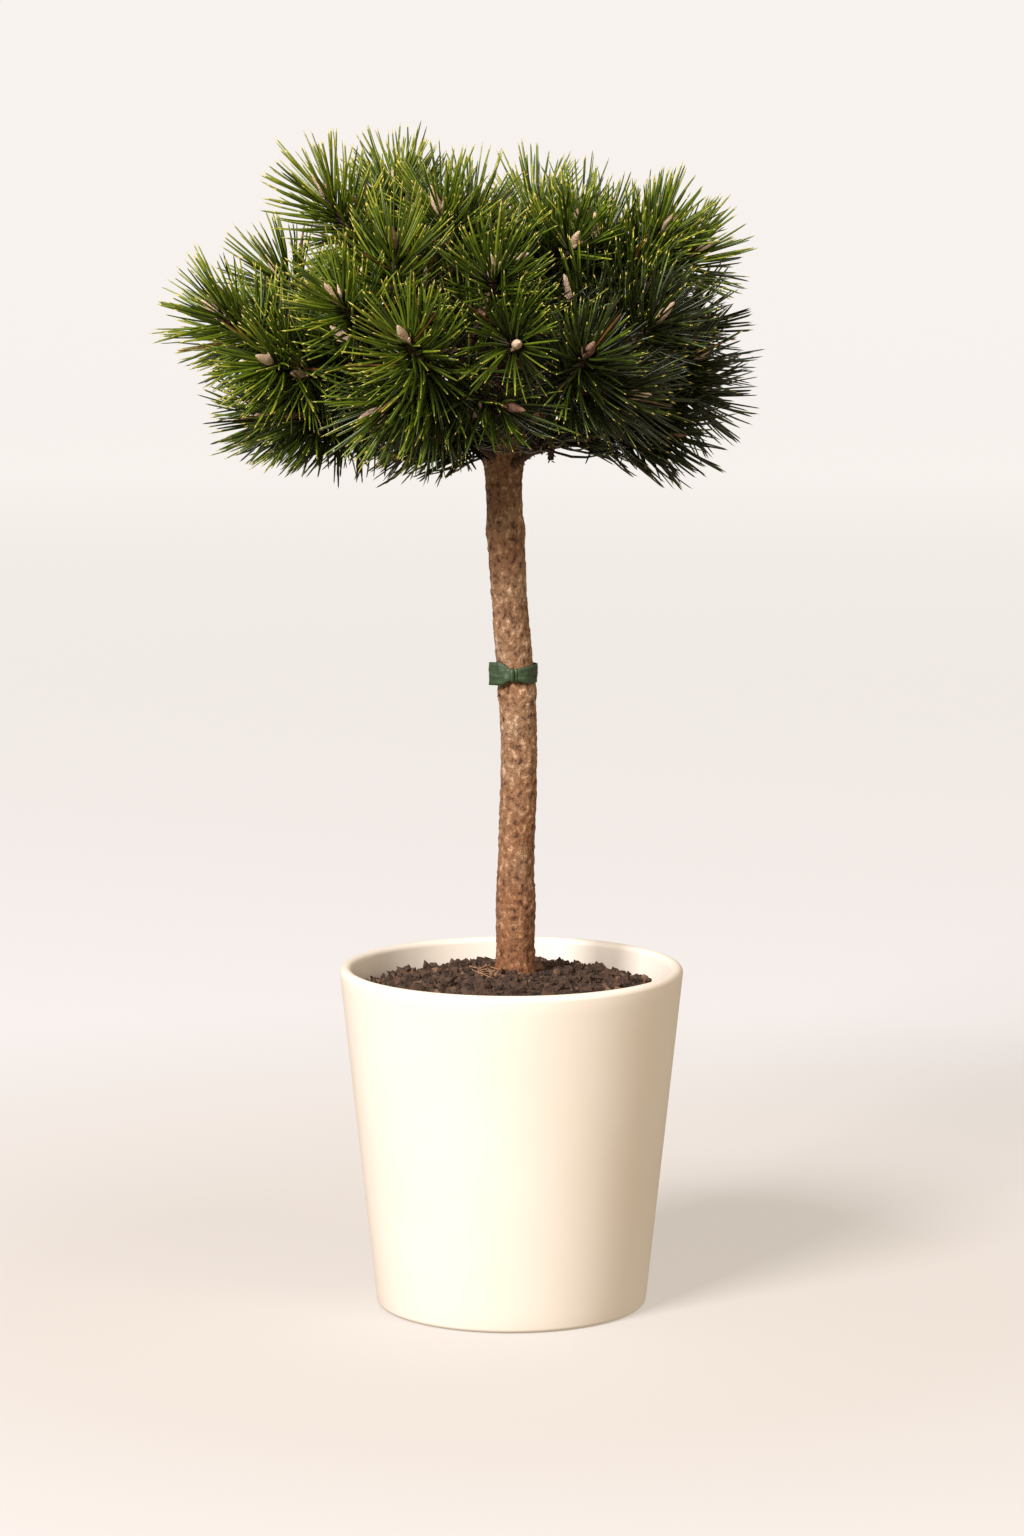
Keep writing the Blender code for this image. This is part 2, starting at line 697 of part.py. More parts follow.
def make_masses(roots, collection, material):
    """Every mass of foliage as one solid: leader, side shoots and needles joined by one union."""
    lines_of_masses = [shoot_lines(mass, root) for mass, root in zip(MASSES, roots)]
    marks, owners = crown_marks(lines_of_masses)
    limbs, limb_radii = limb_marks(roots)
    needle = needle_mesh()
    for number, (mass, lines) in enumerate(zip(MASSES, lines_of_masses)):
        rng = random.Random(SEED + number)
        pieces = new_collection("pieces_" + mass.name)
        for index, line in enumerate(lines):
            places, radii = shoot_profile(line, GAP if index == 0 else 0.0)
            home = collection if index == 0 else pieces
            shoot = tube("foliage_" + mass.name if index == 0 else "shoot", places, radii, 4, home)
            if index == 0:
                foliage = shoot
            for root, tip, half_width in needle_rays(line, rng):
                if keeps_clear(number, root, tip, half_width, marks, owners, limbs, limb_radii):
                    place_needle(len(pieces.objects), needle, root, tip, half_width, pieces)
        boolean(foliage, "UNION", pieces)
        drop(pieces)
        keep_largest(foliage.data)
        foliage.data.materials.clear()
        foliage.data.materials.append(material)


def main():
    clear_scene()
    plant = new_collection("potted_mountain_pine")
    materials = make_materials()
    make_pot(plant, materials["pot_glaze"])
    make_soil(plant, materials["potting_soil"])
    trunk = make_stem(plant, materials["bark"])
    make_tie(plant, materials["tie_tape"])
    roots = bough_roots()
    make_boughs(roots, trunk, plant, materials["bark"])
    make_masses(roots, plant, materials["needles"])


main()
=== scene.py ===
"""Looks of a dwarf mountain pine grafted on a bare stem, in a cream glazed pot.

The crown grows by the rule of the part's source, written again here: boughs leave the stem's head,
each mass of foliage has a leading shoot and side shoots, and needles stand in a golden spiral round
them. Here each mass has a few finer shoots more, and every needle is a thin form of its own.
"""

import logging
import math
from dataclasses import dataclass
from enum import Enum
from typing import Sequence

import bpy
import numpy as np
from numpy.typing import NDArray
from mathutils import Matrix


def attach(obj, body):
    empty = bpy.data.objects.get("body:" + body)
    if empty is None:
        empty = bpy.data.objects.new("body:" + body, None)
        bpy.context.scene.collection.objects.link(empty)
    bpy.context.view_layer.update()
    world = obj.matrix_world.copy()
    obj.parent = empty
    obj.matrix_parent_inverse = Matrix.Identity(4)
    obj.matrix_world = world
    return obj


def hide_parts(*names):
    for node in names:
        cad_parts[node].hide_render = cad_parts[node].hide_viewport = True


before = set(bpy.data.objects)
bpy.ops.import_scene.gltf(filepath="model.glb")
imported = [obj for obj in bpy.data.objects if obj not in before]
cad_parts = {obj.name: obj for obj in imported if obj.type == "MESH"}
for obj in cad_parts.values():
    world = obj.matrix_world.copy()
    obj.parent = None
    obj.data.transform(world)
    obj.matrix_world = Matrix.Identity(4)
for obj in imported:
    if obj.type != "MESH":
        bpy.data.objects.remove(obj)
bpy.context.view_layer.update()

Array = NDArray[np.float64]
Index = NDArray[np.int64]
Faces = list[Index]
Point = tuple[float, float, float]
Colour = tuple[float, float, float]
Material = bpy.types.Material
Socket = bpy.types.NodeSocket
LOG = logging.getLogger("potted_pine")
BODY = "root"


class Slot(Enum):
    """Names for five material slots: glaze, soil, bark, tape and needles."""

    GLAZE = "pot_glaze"
    SOIL = "potting_soil"
    BARK = "bark"
    TAPE = "tie_tape"
    NEEDLES = "needles"


# Small vector tools


def unit(vectors: Array) -> Array:
    """Scales each vector to length one.

    Args:
        vectors: Vectors along the last axis.

    Returns:
        The same directions with length one.
    """
    return vectors / np.maximum(np.linalg.norm(vectors, axis=-1, keepdims=True), 1e-12)


def outward(azimuth: float, elevation: float) -> Array:
    """Gives the unit vector at an azimuth from +X and an elevation above the horizon.

    Args:
        azimuth: Degrees round +Z from +X.
        elevation: Degrees above the horizon.

    Returns:
        The vector (cos a cos e, sin a cos e, sin e).
    """
    a, e = math.radians(azimuth), math.radians(elevation)
    return np.array((math.cos(a) * math.cos(e), math.sin(a) * math.cos(e), math.sin(e)))


def along(stations: Array, share: Array) -> Array:
    """Runs a smooth Catmull-Rom line through the stations.

    Args:
        stations: The stations, one a row.
        share: Places from 0 at the first station to 1 at the last, evenly by station.

    Returns:
        One row of the line for each place.
    """
    knots = np.vstack([2 * stations[0] - stations[1], stations, 2 * stations[-1] - stations[-2]])
    place = np.clip(np.asarray(share, float), 0, 1) * (len(stations) - 1)
    first = np.minimum(place.astype(int), len(stations) - 2)
    t = (place - first)[..., None]
    a, b, c, d = (knots[first + i] for i in range(4))
    return 0.5 * (2 * b + (c - a) * t + (2 * a - 5 * b + 4 * c - d) * t**2 + (3 * (b - c) + d - a) * t**3)


def bezier(a: Array, b: Array, c: Array, d: Array, share: Array) -> Array:
    """Runs a cubic Bezier curve: (1-t)^3 a + 3 t (1-t)^2 b + 3 t^2 (1-t) c + t^3 d.

    Args:
        a: The start.
        b: The start's handle.
        c: The end's handle.
        d: The end.
        share: The values of t.

    Returns:
        One point a row for each t.
    """
    t = np.asarray(share, float)[:, None]
    return a * (1 - t) ** 3 + 3 * b * t * (1 - t) ** 2 + 3 * c * t**2 * (1 - t) + d * t**3


def travelled(line: Array) -> Array:
    """Measures the way along a line of points, from its first."""
    return np.concatenate([[0.0], np.cumsum(np.linalg.norm(np.diff(line, axis=0), axis=1))])


def points_at(line: Array, distances: Array) -> tuple[Array, Array]:
    """Finds points and headings at distances along a line of points.

    Args:
        line: The line's points.
        distances: Distances from its first point.

    Returns:
        The points, and the unit headings there from points 2 mm either side.
    """
    run = travelled(line)
    step = 0.002

    def spot(way: Array) -> Array:
        """Reads the line at each distance, coordinate by coordinate."""
        held = np.clip(way, 0.0, run[-1])
        return np.stack([np.interp(held, run, line[:, i]) for i in range(3)], axis=-1)

    return spot(distances), unit(spot(distances + step) - spot(distances - step))


def frames_round(headings: Array) -> tuple[Array, Array]:
    """Gives two unit vectors square to each heading and to each other.

    Args:
        headings: Unit vectors.

    Returns:
        heading x up (or heading x +X where the heading is steep), and heading x that.
    """
    steep = np.abs(headings[..., 2:3]) > 0.9
    helper = np.where(steep, np.array((1.0, 0.0, 0.0)), np.array((0.0, 0.0, 1.0)))
    first = unit(np.cross(headings, helper))
    return first, np.cross(headings, first)


def carried_frames(line: Array) -> tuple[Array, Array]:
    """Carries one sideways vector along a line without twist.

    Args:
        line: The line's points.

    Returns:
        Two unit vectors a point, square to the line: the first is the last one with its part along
        the new heading taken away.
    """
    headings = unit(np.gradient(line, axis=0))
    side = frames_round(headings[:1])[0][0]
    sides = []
    for heading in headings:
        side = side - heading * float(side @ heading)
        side = side / np.linalg.norm(side)
        sides.append(side)
    first = np.array(sides)
    return first, np.cross(headings, first)


def rotations(quaternions: Array) -> Array:
    """Turns unit quaternions (w, a, b, c) into rotation matrices.

    Args:
        quaternions: One a row.

    Returns:
        A 3 by 3 matrix for each: 1 - 2 (v.v - vi vi) down the diagonal, and 2 (vi vj -+ w vk) beside it.
    """
    w, a, b, c = quaternions.T
    rows = [
        (1 - 2 * (b * b + c * c), 2 * (a * b - w * c), 2 * (a * c + w * b)),
        (2 * (a * b + w * c), 1 - 2 * (a * a + c * c), 2 * (b * c - w * a)),
        (2 * (a * c - w * b), 2 * (b * c + w * a), 1 - 2 * (a * a + b * b)),
    ]
    return np.stack([np.stack(row, axis=-1) for row in rows], axis=1)


def lattice_noise(points: Array, seed: float = 0.0) -> Array:
    """Value noise: hashed values on a unit lattice, blended by 3f^2 - 2f^3 along each axis.

    Args:
        points: Places, one a row, in lattice units.
        seed: Shifts the hash.

    Returns:
        Values from -1 to 1.
    """
    cell = np.floor(points)
    part = points - cell
    blend = part * part * (3 - 2 * part)
    total = np.zeros(points.shape[:-1])
    for corner in np.ndindex(2, 2, 2):
        at = cell + np.array(corner)
        hashed = np.sin(at @ np.array((127.1, 311.7, 74.7)) + seed * 37.7) * 43758.5453
        weight = np.prod(np.where(np.array(corner) == 1, blend, 1 - blend), axis=-1)
        total += weight * (hashed - np.floor(hashed))
    return total * 2 - 1


def layered_noise(points: Array, octaves: int, seed: float = 0.0) -> Array:
    """Adds octaves of value noise, each twice as fine and half as strong.

    Args:
        points: Places in lattice units of the coarsest octave.
        octaves: How many octaves.
        seed: Shifts the hash.

    Returns:
        Values of about -1 to 1.
    """
    total = np.zeros(points.shape[:-1])
    for octave in range(octaves):
        total += lattice_noise(points * 2.0**octave, seed + octave * 3.1) * 0.5**octave
    return total / (2 - 0.5 ** (octaves - 1))


# Mesh tools


@dataclass
class MeshParts:
    """Vertices and faces gathered from many shapes, to be put into one mesh."""

    name: str

    def __post_init__(self) -> None:
        """Starts with nothing gathered."""
        self.verts: list[Array] = []
        self.faces: list[tuple[Index, Index]] = []
        self.count = 0

    def add(self, verts: Array, faces: Sequence[Index], material: Index | int = 0) -> None:
        """Adds a shape.

        Args:
            verts: Its vertices, one a row.
            faces: Blocks of faces with the same number of corners, as rows of vertex numbers.
            material: The number of its material, or one for each face of each block in turn.
        """
        start = 0
        for block in faces:
            if np.isscalar(material):
                slots = np.full(len(block), int(material))
            else:
                slots = np.asarray(material)[start : start + len(block)]
            start += len(block)
            self.faces.append((block + self.count, slots))
        self.verts.append(verts.reshape(-1, 3))
        self.count += verts.size // 3

    def triangles(self) -> int:
        """Counts the triangles gathered so far."""
        return sum(len(block) * (block.shape[1] - 2) for block, _ in self.faces)

    def build(self, materials: Sequence[Material], smooth: bool = True) -> bpy.types.Object:
        """Puts the gathered shapes into one object at the origin.

        Args:
            materials: The materials, in the order of their numbers.
            smooth: Whether the faces are shaded smooth.

        Returns:
            The new object.
        """
        verts = np.vstack(self.verts)
        loops = np.concatenate([block.ravel() for block, _ in self.faces])
        sizes = np.concatenate([np.full(len(block), block.shape[1]) for block, _ in self.faces])
        slots = np.concatenate([slots for _, slots in self.faces])
        starts = np.concatenate([[0], np.cumsum(sizes)[:-1]])
        mesh = bpy.data.meshes.new(self.name)
        mesh.vertices.add(len(verts))
        mesh.vertices.foreach_set("co", verts.astype(np.float32).ravel())
        mesh.loops.add(len(loops))
        mesh.loops.foreach_set("vertex_index", loops.astype(np.int32))
        mesh.polygons.add(len(sizes))
        mesh.polygons.foreach_set("loop_start", starts.astype(np.int32))
        for material in materials:
            mesh.materials.append(material)
        mesh.polygons.foreach_set("material_index", slots.astype(np.int32))
        mesh.polygons.foreach_set("use_smooth", np.full(len(sizes), smooth))
        mesh.update(calc_edges=True)
        mesh.validate()
        obj = bpy.data.objects.new(self.name, mesh)
        bpy.context.scene.collection.objects.link(obj)
        return obj


def ring_faces(rings: int, sides: int) -> Index:
    """Lists the quads between neighbouring rings of a closed tube whose rings run anticlockwise.

    Args:
        rings: How many rings, numbered along the tube.
        sides: Vertices in a ring.

    Returns:
        Quads that face out of the tube.
    """
    ring, side = np.meshgrid(np.arange(rings - 1), np.arange(sides), indexing="ij")
    a = ring * sides + side
    b = ring * sides + (side + 1) % sides
    return np.stack([a, b, b + sides, a + sides], axis=-1).reshape(-1, 4)


def cap_faces(first: int, sides: int, pole: int, upper: bool) -> Index:
    """Lists the triangles that close a ring onto a pole.

    Args:
        first: The ring's first vertex.
        sides: Vertices in the ring.
        pole: The pole's vertex.
        upper: True where the pole lies ahead of the ring.

    Returns:
        Triangles that face out.
    """
    side = np.arange(sides)
    a, b = first + side, first + (side + 1) % sides
    order = [a, b, np.full(sides, pole)] if upper else [b, a, np.full(sides, pole)]
    return np.stack(order, axis=-1)


def tube(line: Array, radii: Array, sides: int) -> tuple[Array, Faces]:
    """Wraps a closed tube round a line.

    Each ring is p + r (u cos a + v sin a), with u and v carried along the line without twist.

    Args:
        line: The middle line's points.
        radii: A radius for each point, or one for each point and side.
        sides: Vertices in a ring.

    Returns:
        The vertices, and the blocks of faces: the wall, then the two caps.
    """
    u, v = carried_frames(line)
    angle = np.linspace(0, 2 * math.pi, sides, endpoint=False)
    radii = np.asarray(radii, float)
    radii = radii[:, None] if radii.ndim == 1 else radii
    ring = u[:, None] * np.cos(angle)[None, :, None] + v[:, None] * np.sin(angle)[None, :, None]
    wall = line[:, None] + ring * radii[..., None]
    verts = np.vstack([wall.reshape(-1, 3), line[:1], line[-1:]])
    poles = len(line) * sides
    faces = [
        ring_faces(len(line), sides),
        cap_faces(0, sides, poles, False),
        cap_faces((len(line) - 1) * sides, sides, poles + 1, True),
    ]
    return verts, faces


def lathe(profile: Array, sides: int) -> tuple[Array, Faces]:
    """Turns a profile of (radius, height) about +Z, from a pole on the axis to another.

    Each vertex is (r cos a, r sin a, z). The profile runs up the outside and in over the top.

    Args:
        profile: Rows of radius and height, the first and the last on the axis.
        sides: Vertices in a ring.

    Returns:
        The vertices and the blocks of faces.
    """
    angle = np.linspace(0, 2 * math.pi, sides, endpoint=False)
    rings = profile[1:-1]
    wall = np.stack(
        [
            rings[:, :1] * np.cos(angle),
            rings[:, :1] * np.sin(angle),
            np.repeat(rings[:, 1:2], sides, axis=1),
        ],
        axis=-1,
    )
    poles = np.array([[0, 0, profile[0, 1]], [0, 0, profile[-1, 1]]])
    verts = np.vstack([wall.reshape(-1, 3), poles])
    count = len(rings) * sides
    faces = [
        ring_faces(len(rings), sides),
        cap_faces(0, sides, count, False),
        cap_faces((len(rings) - 1) * sides, sides, count + 1, True),
    ]
    return verts, faces


# Materials


class Shader:
    """A material's node tree with its Principled BSDF, and short calls that add nodes to it."""

    def __init__(self, name: str, roughness: float, metallic: float = 0.0) -> None:
        """Makes the material.

        Args:
            name: Its name.
            roughness: The plain roughness on the socket.
            metallic: The plain metallic value on the socket.
        """
        self.material = bpy.data.materials.new(name)
        self.material.use_nodes = True
        self.tree = self.material.node_tree
        self.bsdf = self.tree.nodes["Principled BSDF"]
        self.bsdf.inputs["Roughness"].default_value = roughness
        self.bsdf.inputs["Metallic"].default_value = metallic
        self.coords = self.tree.nodes.new("ShaderNodeTexCoord")

    def node(self, kind: str, **inputs: object) -> bpy.types.Node:
        """Adds a node and sets or links its inputs by name.

        Args:
            kind: The node's type.
            inputs: Values or sockets, with spaces in names as underscores.

        Returns:
            The node.
        """
        return self.wired(self.tree.nodes.new(kind), inputs)

    def group(self, tree: bpy.types.NodeTree, **inputs: object) -> bpy.types.Node:
        """Places a shader node group and sets or links its inputs by name.

        Args:
            tree: The group.
            inputs: Values or sockets, with spaces in names as underscores.

        Returns:
            The group's node.
        """
        made = self.tree.nodes.new("ShaderNodeGroup")
        made.node_tree = tree
        return self.wired(made, inputs)

    def wired(self, made: bpy.types.Node, inputs: dict[str, object]) -> bpy.types.Node:
        """Sets a node's inputs to values or links sockets to them.

        Args:
            made: The node.
            inputs: Values or sockets by name, with spaces as underscores.

        Returns:
            The same node.
        """
        for name, value in inputs.items():
            socket = made.inputs[name.replace("_", " ")]
            if isinstance(value, Socket):
                self.tree.links.new(value, socket)
            else:
                socket.default_value = value
        return made

    def place(self, scale: Point = (1.0, 1.0, 1.0)) -> Socket:
        """Gives Object coordinates, stretched by a Mapping node."""
        return self.node("ShaderNodeMapping", Vector=self.coords.outputs["Object"], Scale=scale).outputs[0]

    def noise(self, where: Socket, scale: float, detail: float = 3.0, harshness: float = 0.5) -> Socket:
        """Gives a noise pattern's value."""
        made = self.node("ShaderNodeTexNoise", Vector=where, Scale=scale, Detail=detail, Roughness=harshness)
        return made.outputs["Fac"]

    def mottle(self, where: Socket, scale: float, light: Colour, dark: Colour) -> Socket:
        """Gives a colour that drifts between a light and a dark one."""
        made = self.group(mottle_group(), Vector=where, Scale=scale, Light=(*light, 1), Dark=(*dark, 1))
        return made.outputs["Color"]

    def multiplied(self, first: Socket, second: Socket) -> Socket:
        """Multiplies two colours.

        Args:
            first: A colour.
            second: Another.

        Returns:
            Their product.
        """
        made = self.tree.nodes.new("ShaderNodeMix")
        made.data_type = "RGBA"
        made.blend_type = "MULTIPLY"
        made.inputs["Factor"].default_value = 1.0
        self.tree.links.new(first, made.inputs["A"])
        self.tree.links.new(second, made.inputs["B"])
        return made.outputs["Result"]

    def ramp(self, value: Socket, stops: Sequence[tuple[float, Colour]]) -> Socket:
        """Turns a value into a colour.

        Args:
            value: The value.
            stops: Places and colours.

        Returns:
            The colour socket.
        """
        made = self.node("ShaderNodeValToRGB", Fac=value)
        elements = made.color_ramp.elements
        while len(elements) < len(stops):
            elements.new(0.5)
        for element, (position, colour) in zip(elements, stops):
            element.position = position
            element.color = (*colour, 1.0)
        return made.outputs["Color"]

    def spread(self, value: Socket, low: float, high: float) -> Socket:
        """Maps 0 to 1 onto low to high."""
        return self.node("ShaderNodeMapRange", Value=value, To_Min=low, To_Max=high).outputs[0]

    def bump(self, height: Socket, strength: float, distance: float) -> None:
        """Feeds a height into the surface's normal."""
        made = self.node("ShaderNodeBump", Height=height, Strength=strength, Distance=distance)
        self.tree.links.new(made.outputs["Normal"], self.bsdf.inputs["Normal"])

    def feed(self, **sockets: Socket) -> None:
        """Links sockets into the shader's inputs, named with spaces as underscores."""
        for name, socket in sockets.items():
            self.tree.links.new(socket, self.bsdf.inputs[name.replace("_", " ")])


def mottle_group() -> bpy.types.NodeTree:
    """Builds the group that several finishes share: a colour that drifts between two by soft noise.

    Returns:
        The group, with inputs Vector, Scale, Light and Dark, and outputs Color and Mask.
    """
    found = bpy.data.node_groups.get("mottle")
    if found:
        return found
    tree = bpy.data.node_groups.new("mottle", "ShaderNodeTree")
    face = tree.interface
    face.new_socket("Vector", in_out="INPUT", socket_type="NodeSocketVector")
    face.new_socket("Scale", in_out="INPUT", socket_type="NodeSocketFloat")
    face.new_socket("Light", in_out="INPUT", socket_type="NodeSocketColor")
    face.new_socket("Dark", in_out="INPUT", socket_type="NodeSocketColor")
    face.new_socket("Color", in_out="OUTPUT", socket_type="NodeSocketColor")
    face.new_socket("Mask", in_out="OUTPUT", socket_type="NodeSocketFloat")
    entry = tree.nodes.new("NodeGroupInput")
    leave = tree.nodes.new("NodeGroupOutput")
    noise = tree.nodes.new("ShaderNodeTexNoise")
    noise.inputs["Detail"].default_value = 4.0
    sharpen = tree.nodes.new("ShaderNodeMapRange")
    sharpen.inputs["From Min"].default_value = 0.32
    sharpen.inputs["From Max"].default_value = 0.68
    mix = tree.nodes.new("ShaderNodeMix")
    mix.data_type = "RGBA"
    tree.links.new(entry.outputs["Vector"], noise.inputs["Vector"])
    tree.links.new(entry.outputs["Scale"], noise.inputs["Scale"])
    tree.links.new(noise.outputs["Fac"], sharpen.inputs["Value"])
    tree.links.new(sharpen.outputs[0], mix.inputs["Factor"])
    tree.links.new(entry.outputs["Dark"], mix.inputs["A"])
    tree.links.new(entry.outputs["Light"], mix.inputs["B"])
    tree.links.new(mix.outputs["Result"], leave.inputs["Color"])
    tree.links.new(sharpen.outputs[0], leave.inputs["Mask"])
    return tree


@dataclass(frozen=True)
class GlazeFinish:
    """A cream glaze with a soft satin gloss and barely visible drifts of tone."""

    light: Colour = (0.92, 0.835, 0.735)
    dark: Colour = (0.895, 0.80, 0.69)
    roughness: float = 0.34
    roughness_range: tuple[float, float] = (0.30, 0.42)

    def material(self) -> Material:
        """Builds the glaze: mottled cream, roughness that drifts, and a hair of unevenness.

        Returns:
            The material.
        """
        shader = Shader("cream_glaze", self.roughness)
        where = shader.place()
        tone = shader.mottle(where, 14.0, self.light, self.dark)
        fine = shader.noise(where, 60.0, 2.0)
        shader.feed(Base_Color=tone, Roughness=shader.spread(fine, *self.roughness_range))
        shader.bump(shader.noise(where, 26.0, 2.0), 0.05, 0.002)
        shader.bsdf.inputs["Coat Weight"].default_value = 0.15
        shader.bsdf.inputs["Coat Roughness"].default_value = 0.25
        return shader.material


@dataclass(frozen=True)
class BarkFinish:
    """Scaly pine bark: small plates in warm browns with dark gaps and pale flakes between them."""

    name: str
    crack: Colour
    plate: Colour
    flake: Colour
    low: Colour = (1.0, 1.0, 1.0)
    bump_strength: float = 0.8
    plate_scale: float = 250.0
    grain_scale: float = 900.0
    drift_dark: Colour = (0.70, 0.62, 0.54)
    ruddy_dark: Colour = (1.0, 0.84, 0.70)
    low_heights: tuple[float, float] = (0.24, 0.42)

    def material(self) -> Material:
        """Builds the bark: fine plates, slow drifts of tone, grain, and a redder foot.

        Returns:
            The material.
        """
        plain = (1.0, 1.0, 1.0)
        shader = Shader(self.name, 0.85)
        where = shader.place((1.0, 1.0, 0.85))
        plates = shader.noise(where, self.plate_scale, 7.0, 0.62)
        stops = [(0.34, self.crack), (0.48, self.plate), (0.55, self.plate), (0.66, self.flake)]
        drift = shader.mottle(shader.place((1, 1, 1.2)), 48.0, plain, self.drift_dark)
        ruddy = shader.mottle(shader.place((1, 1, 1.5)), 26.0, plain, self.ruddy_dark)
        split = shader.node("ShaderNodeSeparateXYZ", Vector=shader.coords.outputs["Object"])
        low, high = self.low_heights
        rise = shader.node("ShaderNodeMapRange", Value=split.outputs["Z"], From_Min=low, From_Max=high)
        foot = shader.ramp(rise.outputs[0], [(0.0, self.low), (1.0, plain)])
        toned = shader.ramp(plates, stops)
        for layer in (drift, ruddy, foot):
            toned = shader.multiplied(toned, layer)
        grain = shader.noise(where, self.grain_scale, 4.0)
        height = shader.node("ShaderNodeMath", Value=plates)
        height.operation = "ADD"
        shader.tree.links.new(grain, height.inputs[1])
        shader.feed(Base_Color=toned, Roughness=shader.spread(grain, 0.72, 0.95))
        shader.bump(height.outputs[0], self.bump_strength, 0.0012)
        return shader.material


STEM_BARK = BarkFinish(
    "stem_bark",
    crack=(0.075, 0.034, 0.017),
    plate=(0.350, 0.208, 0.117),
    flake=(0.740, 0.565, 0.405),
    low=(0.76, 0.60, 0.47),
)
BOUGH_BARK = BarkFinish(
    "bough_bark", crack=(0.025, 0.016, 0.011), plate=(0.085, 0.052, 0.033), flake=(0.170, 0.110, 0.072)
)
SHOOT_BARK = BarkFinish(
    "shoot_bark", crack=(0.030, 0.018, 0.012), plate=(0.085, 0.050, 0.030), flake=(0.190, 0.120, 0.075)
)


@dataclass(frozen=True)
class CrumblyFinish:
    """A matt brown that mottles between two tones and is rough all over: compost, fibres, bud scales."""

    name: str
    light: Colour
    dark: Colour

    def material(self) -> Material:
        """Builds it from a coarse mottle and a fine rough bump.

        Returns:
            The material.
        """
        shader = Shader(self.name, 0.95)
        where = shader.place()
        tone = shader.mottle(where, 170.0, self.light, self.dark)
        fine = shader.noise(where, 900.0, 5.0)
        shader.feed(Base_Color=tone, Roughness=shader.spread(fine, 0.8, 1.0))
        shader.bump(fine, 0.8, 0.0015)
        return shader.material


@dataclass(frozen=True)
class NeedleFinish:
    """One green among the needles, waxy, a little lighter and darker along and between them."""

    name: str
    light: Colour
    dark: Colour
    roughness: float = 0.34
    roughness_range: tuple[float, float] = (0.26, 0.42)

    def material(self) -> Material:
        """Builds the needle's green.

        Returns:
            The material.
        """
        shader = Shader(self.name, self.roughness)
        where = shader.place()
        tone = shader.mottle(where, 95.0, self.light, self.dark)
        wax = shader.spread(shader.noise(where, 240.0), *self.roughness_range)
        shader.feed(Base_Color=tone, Roughness=wax)
        shader.bsdf.inputs["Specular IOR Level"].default_value = 0.55
        return shader.material


@dataclass(frozen=True)
class TapeFinish:
    """Dark green plastic tape, slightly glossy, with fine creases along it."""

    light: Colour = (0.050, 0.088, 0.036)
    dark: Colour = (0.014, 0.030, 0.012)

    def material(self) -> Material:
        """Builds the tape.

        Returns:
            The material.
        """
        shader = Shader("green_tape", 0.45)
        where = shader.place((1.0, 1.0, 4.0))
        tone = shader.mottle(where, 90.0, self.light, self.dark)
        creases = shader.noise(where, 260.0, 3.0)
        shader.feed(Base_Color=tone, Roughness=shader.spread(creases, 0.35, 0.6))
        shader.bump(creases, 0.35, 0.0008)
        return shader.material


@dataclass(frozen=True)
class StageFinish:
    """Pale paper that gives off some light of its own, warmer under the pot than further out."""

    near: Colour = (0.315, 0.295, 0.285)
    middle: Colour = (0.315, 0.315, 0.335)
    far: Colour = (0.100, 0.100, 0.105)
    near_glow: Colour = (0.455, 0.415, 0.375)
    middle_glow: Colour = (0.570, 0.540, 0.520)
    far_glow: Colour = (0.870, 0.830, 0.800)
    fade_start: float = 0.35
    fade_middle: float = 1.1
    fade_end: float = 7.5

    def material(self) -> Material:
        """Builds the matt paper: its tone falls and its glow rises outward, where less key light falls.

        Returns:
            The material.
        """
        shader = Shader("stage_paper", 0.95)
        split = shader.node("ShaderNodeSeparateXYZ", Vector=shader.coords.outputs["Object"])
        flat = shader.node("ShaderNodeCombineXYZ", X=split.outputs["X"], Y=split.outputs["Y"])
        away = shader.tree.nodes.new("ShaderNodeVectorMath")
        away.operation = "LENGTH"
        shader.tree.links.new(flat.outputs[0], away.inputs[0])
        fade = shader.node(
            "ShaderNodeMapRange",
            Value=away.outputs["Value"],
            From_Min=self.fade_start,
            From_Max=self.fade_end,
        ).outputs[0]
        half = (self.fade_middle - self.fade_start) / (self.fade_end - self.fade_start)
        tone = [(0.0, self.near), (half, self.middle), (1.0, self.far)]
        glow = [(0.0, self.near_glow), (half, self.middle_glow), (1.0, self.far_glow)]
        shader.feed(Base_Color=shader.ramp(fade, tone), Emission_Color=shader.ramp(fade, glow))
        shader.bsdf.inputs["Specular IOR Level"].default_value = 0.1
        shader.bsdf.inputs["Emission Strength"].default_value = 1.0
        return shader.material


# The growth rule, the same as in the part's source


@dataclass(frozen=True)
class Mass:
    """A mass of foliage: where its leading shoot ends, seen from the crown's centre, and its side shoots.

    The side shoots are tilted away from the leader by spread degrees, the first towards roll, and
    reach side_reach as far. The counted shoots include the leader.
    """

    name: str
    azimuth: float
    elevation: float
    reach: float
    roll: float
    spread: float
    side_reach: float
    shoots: int
    on_bough: bool


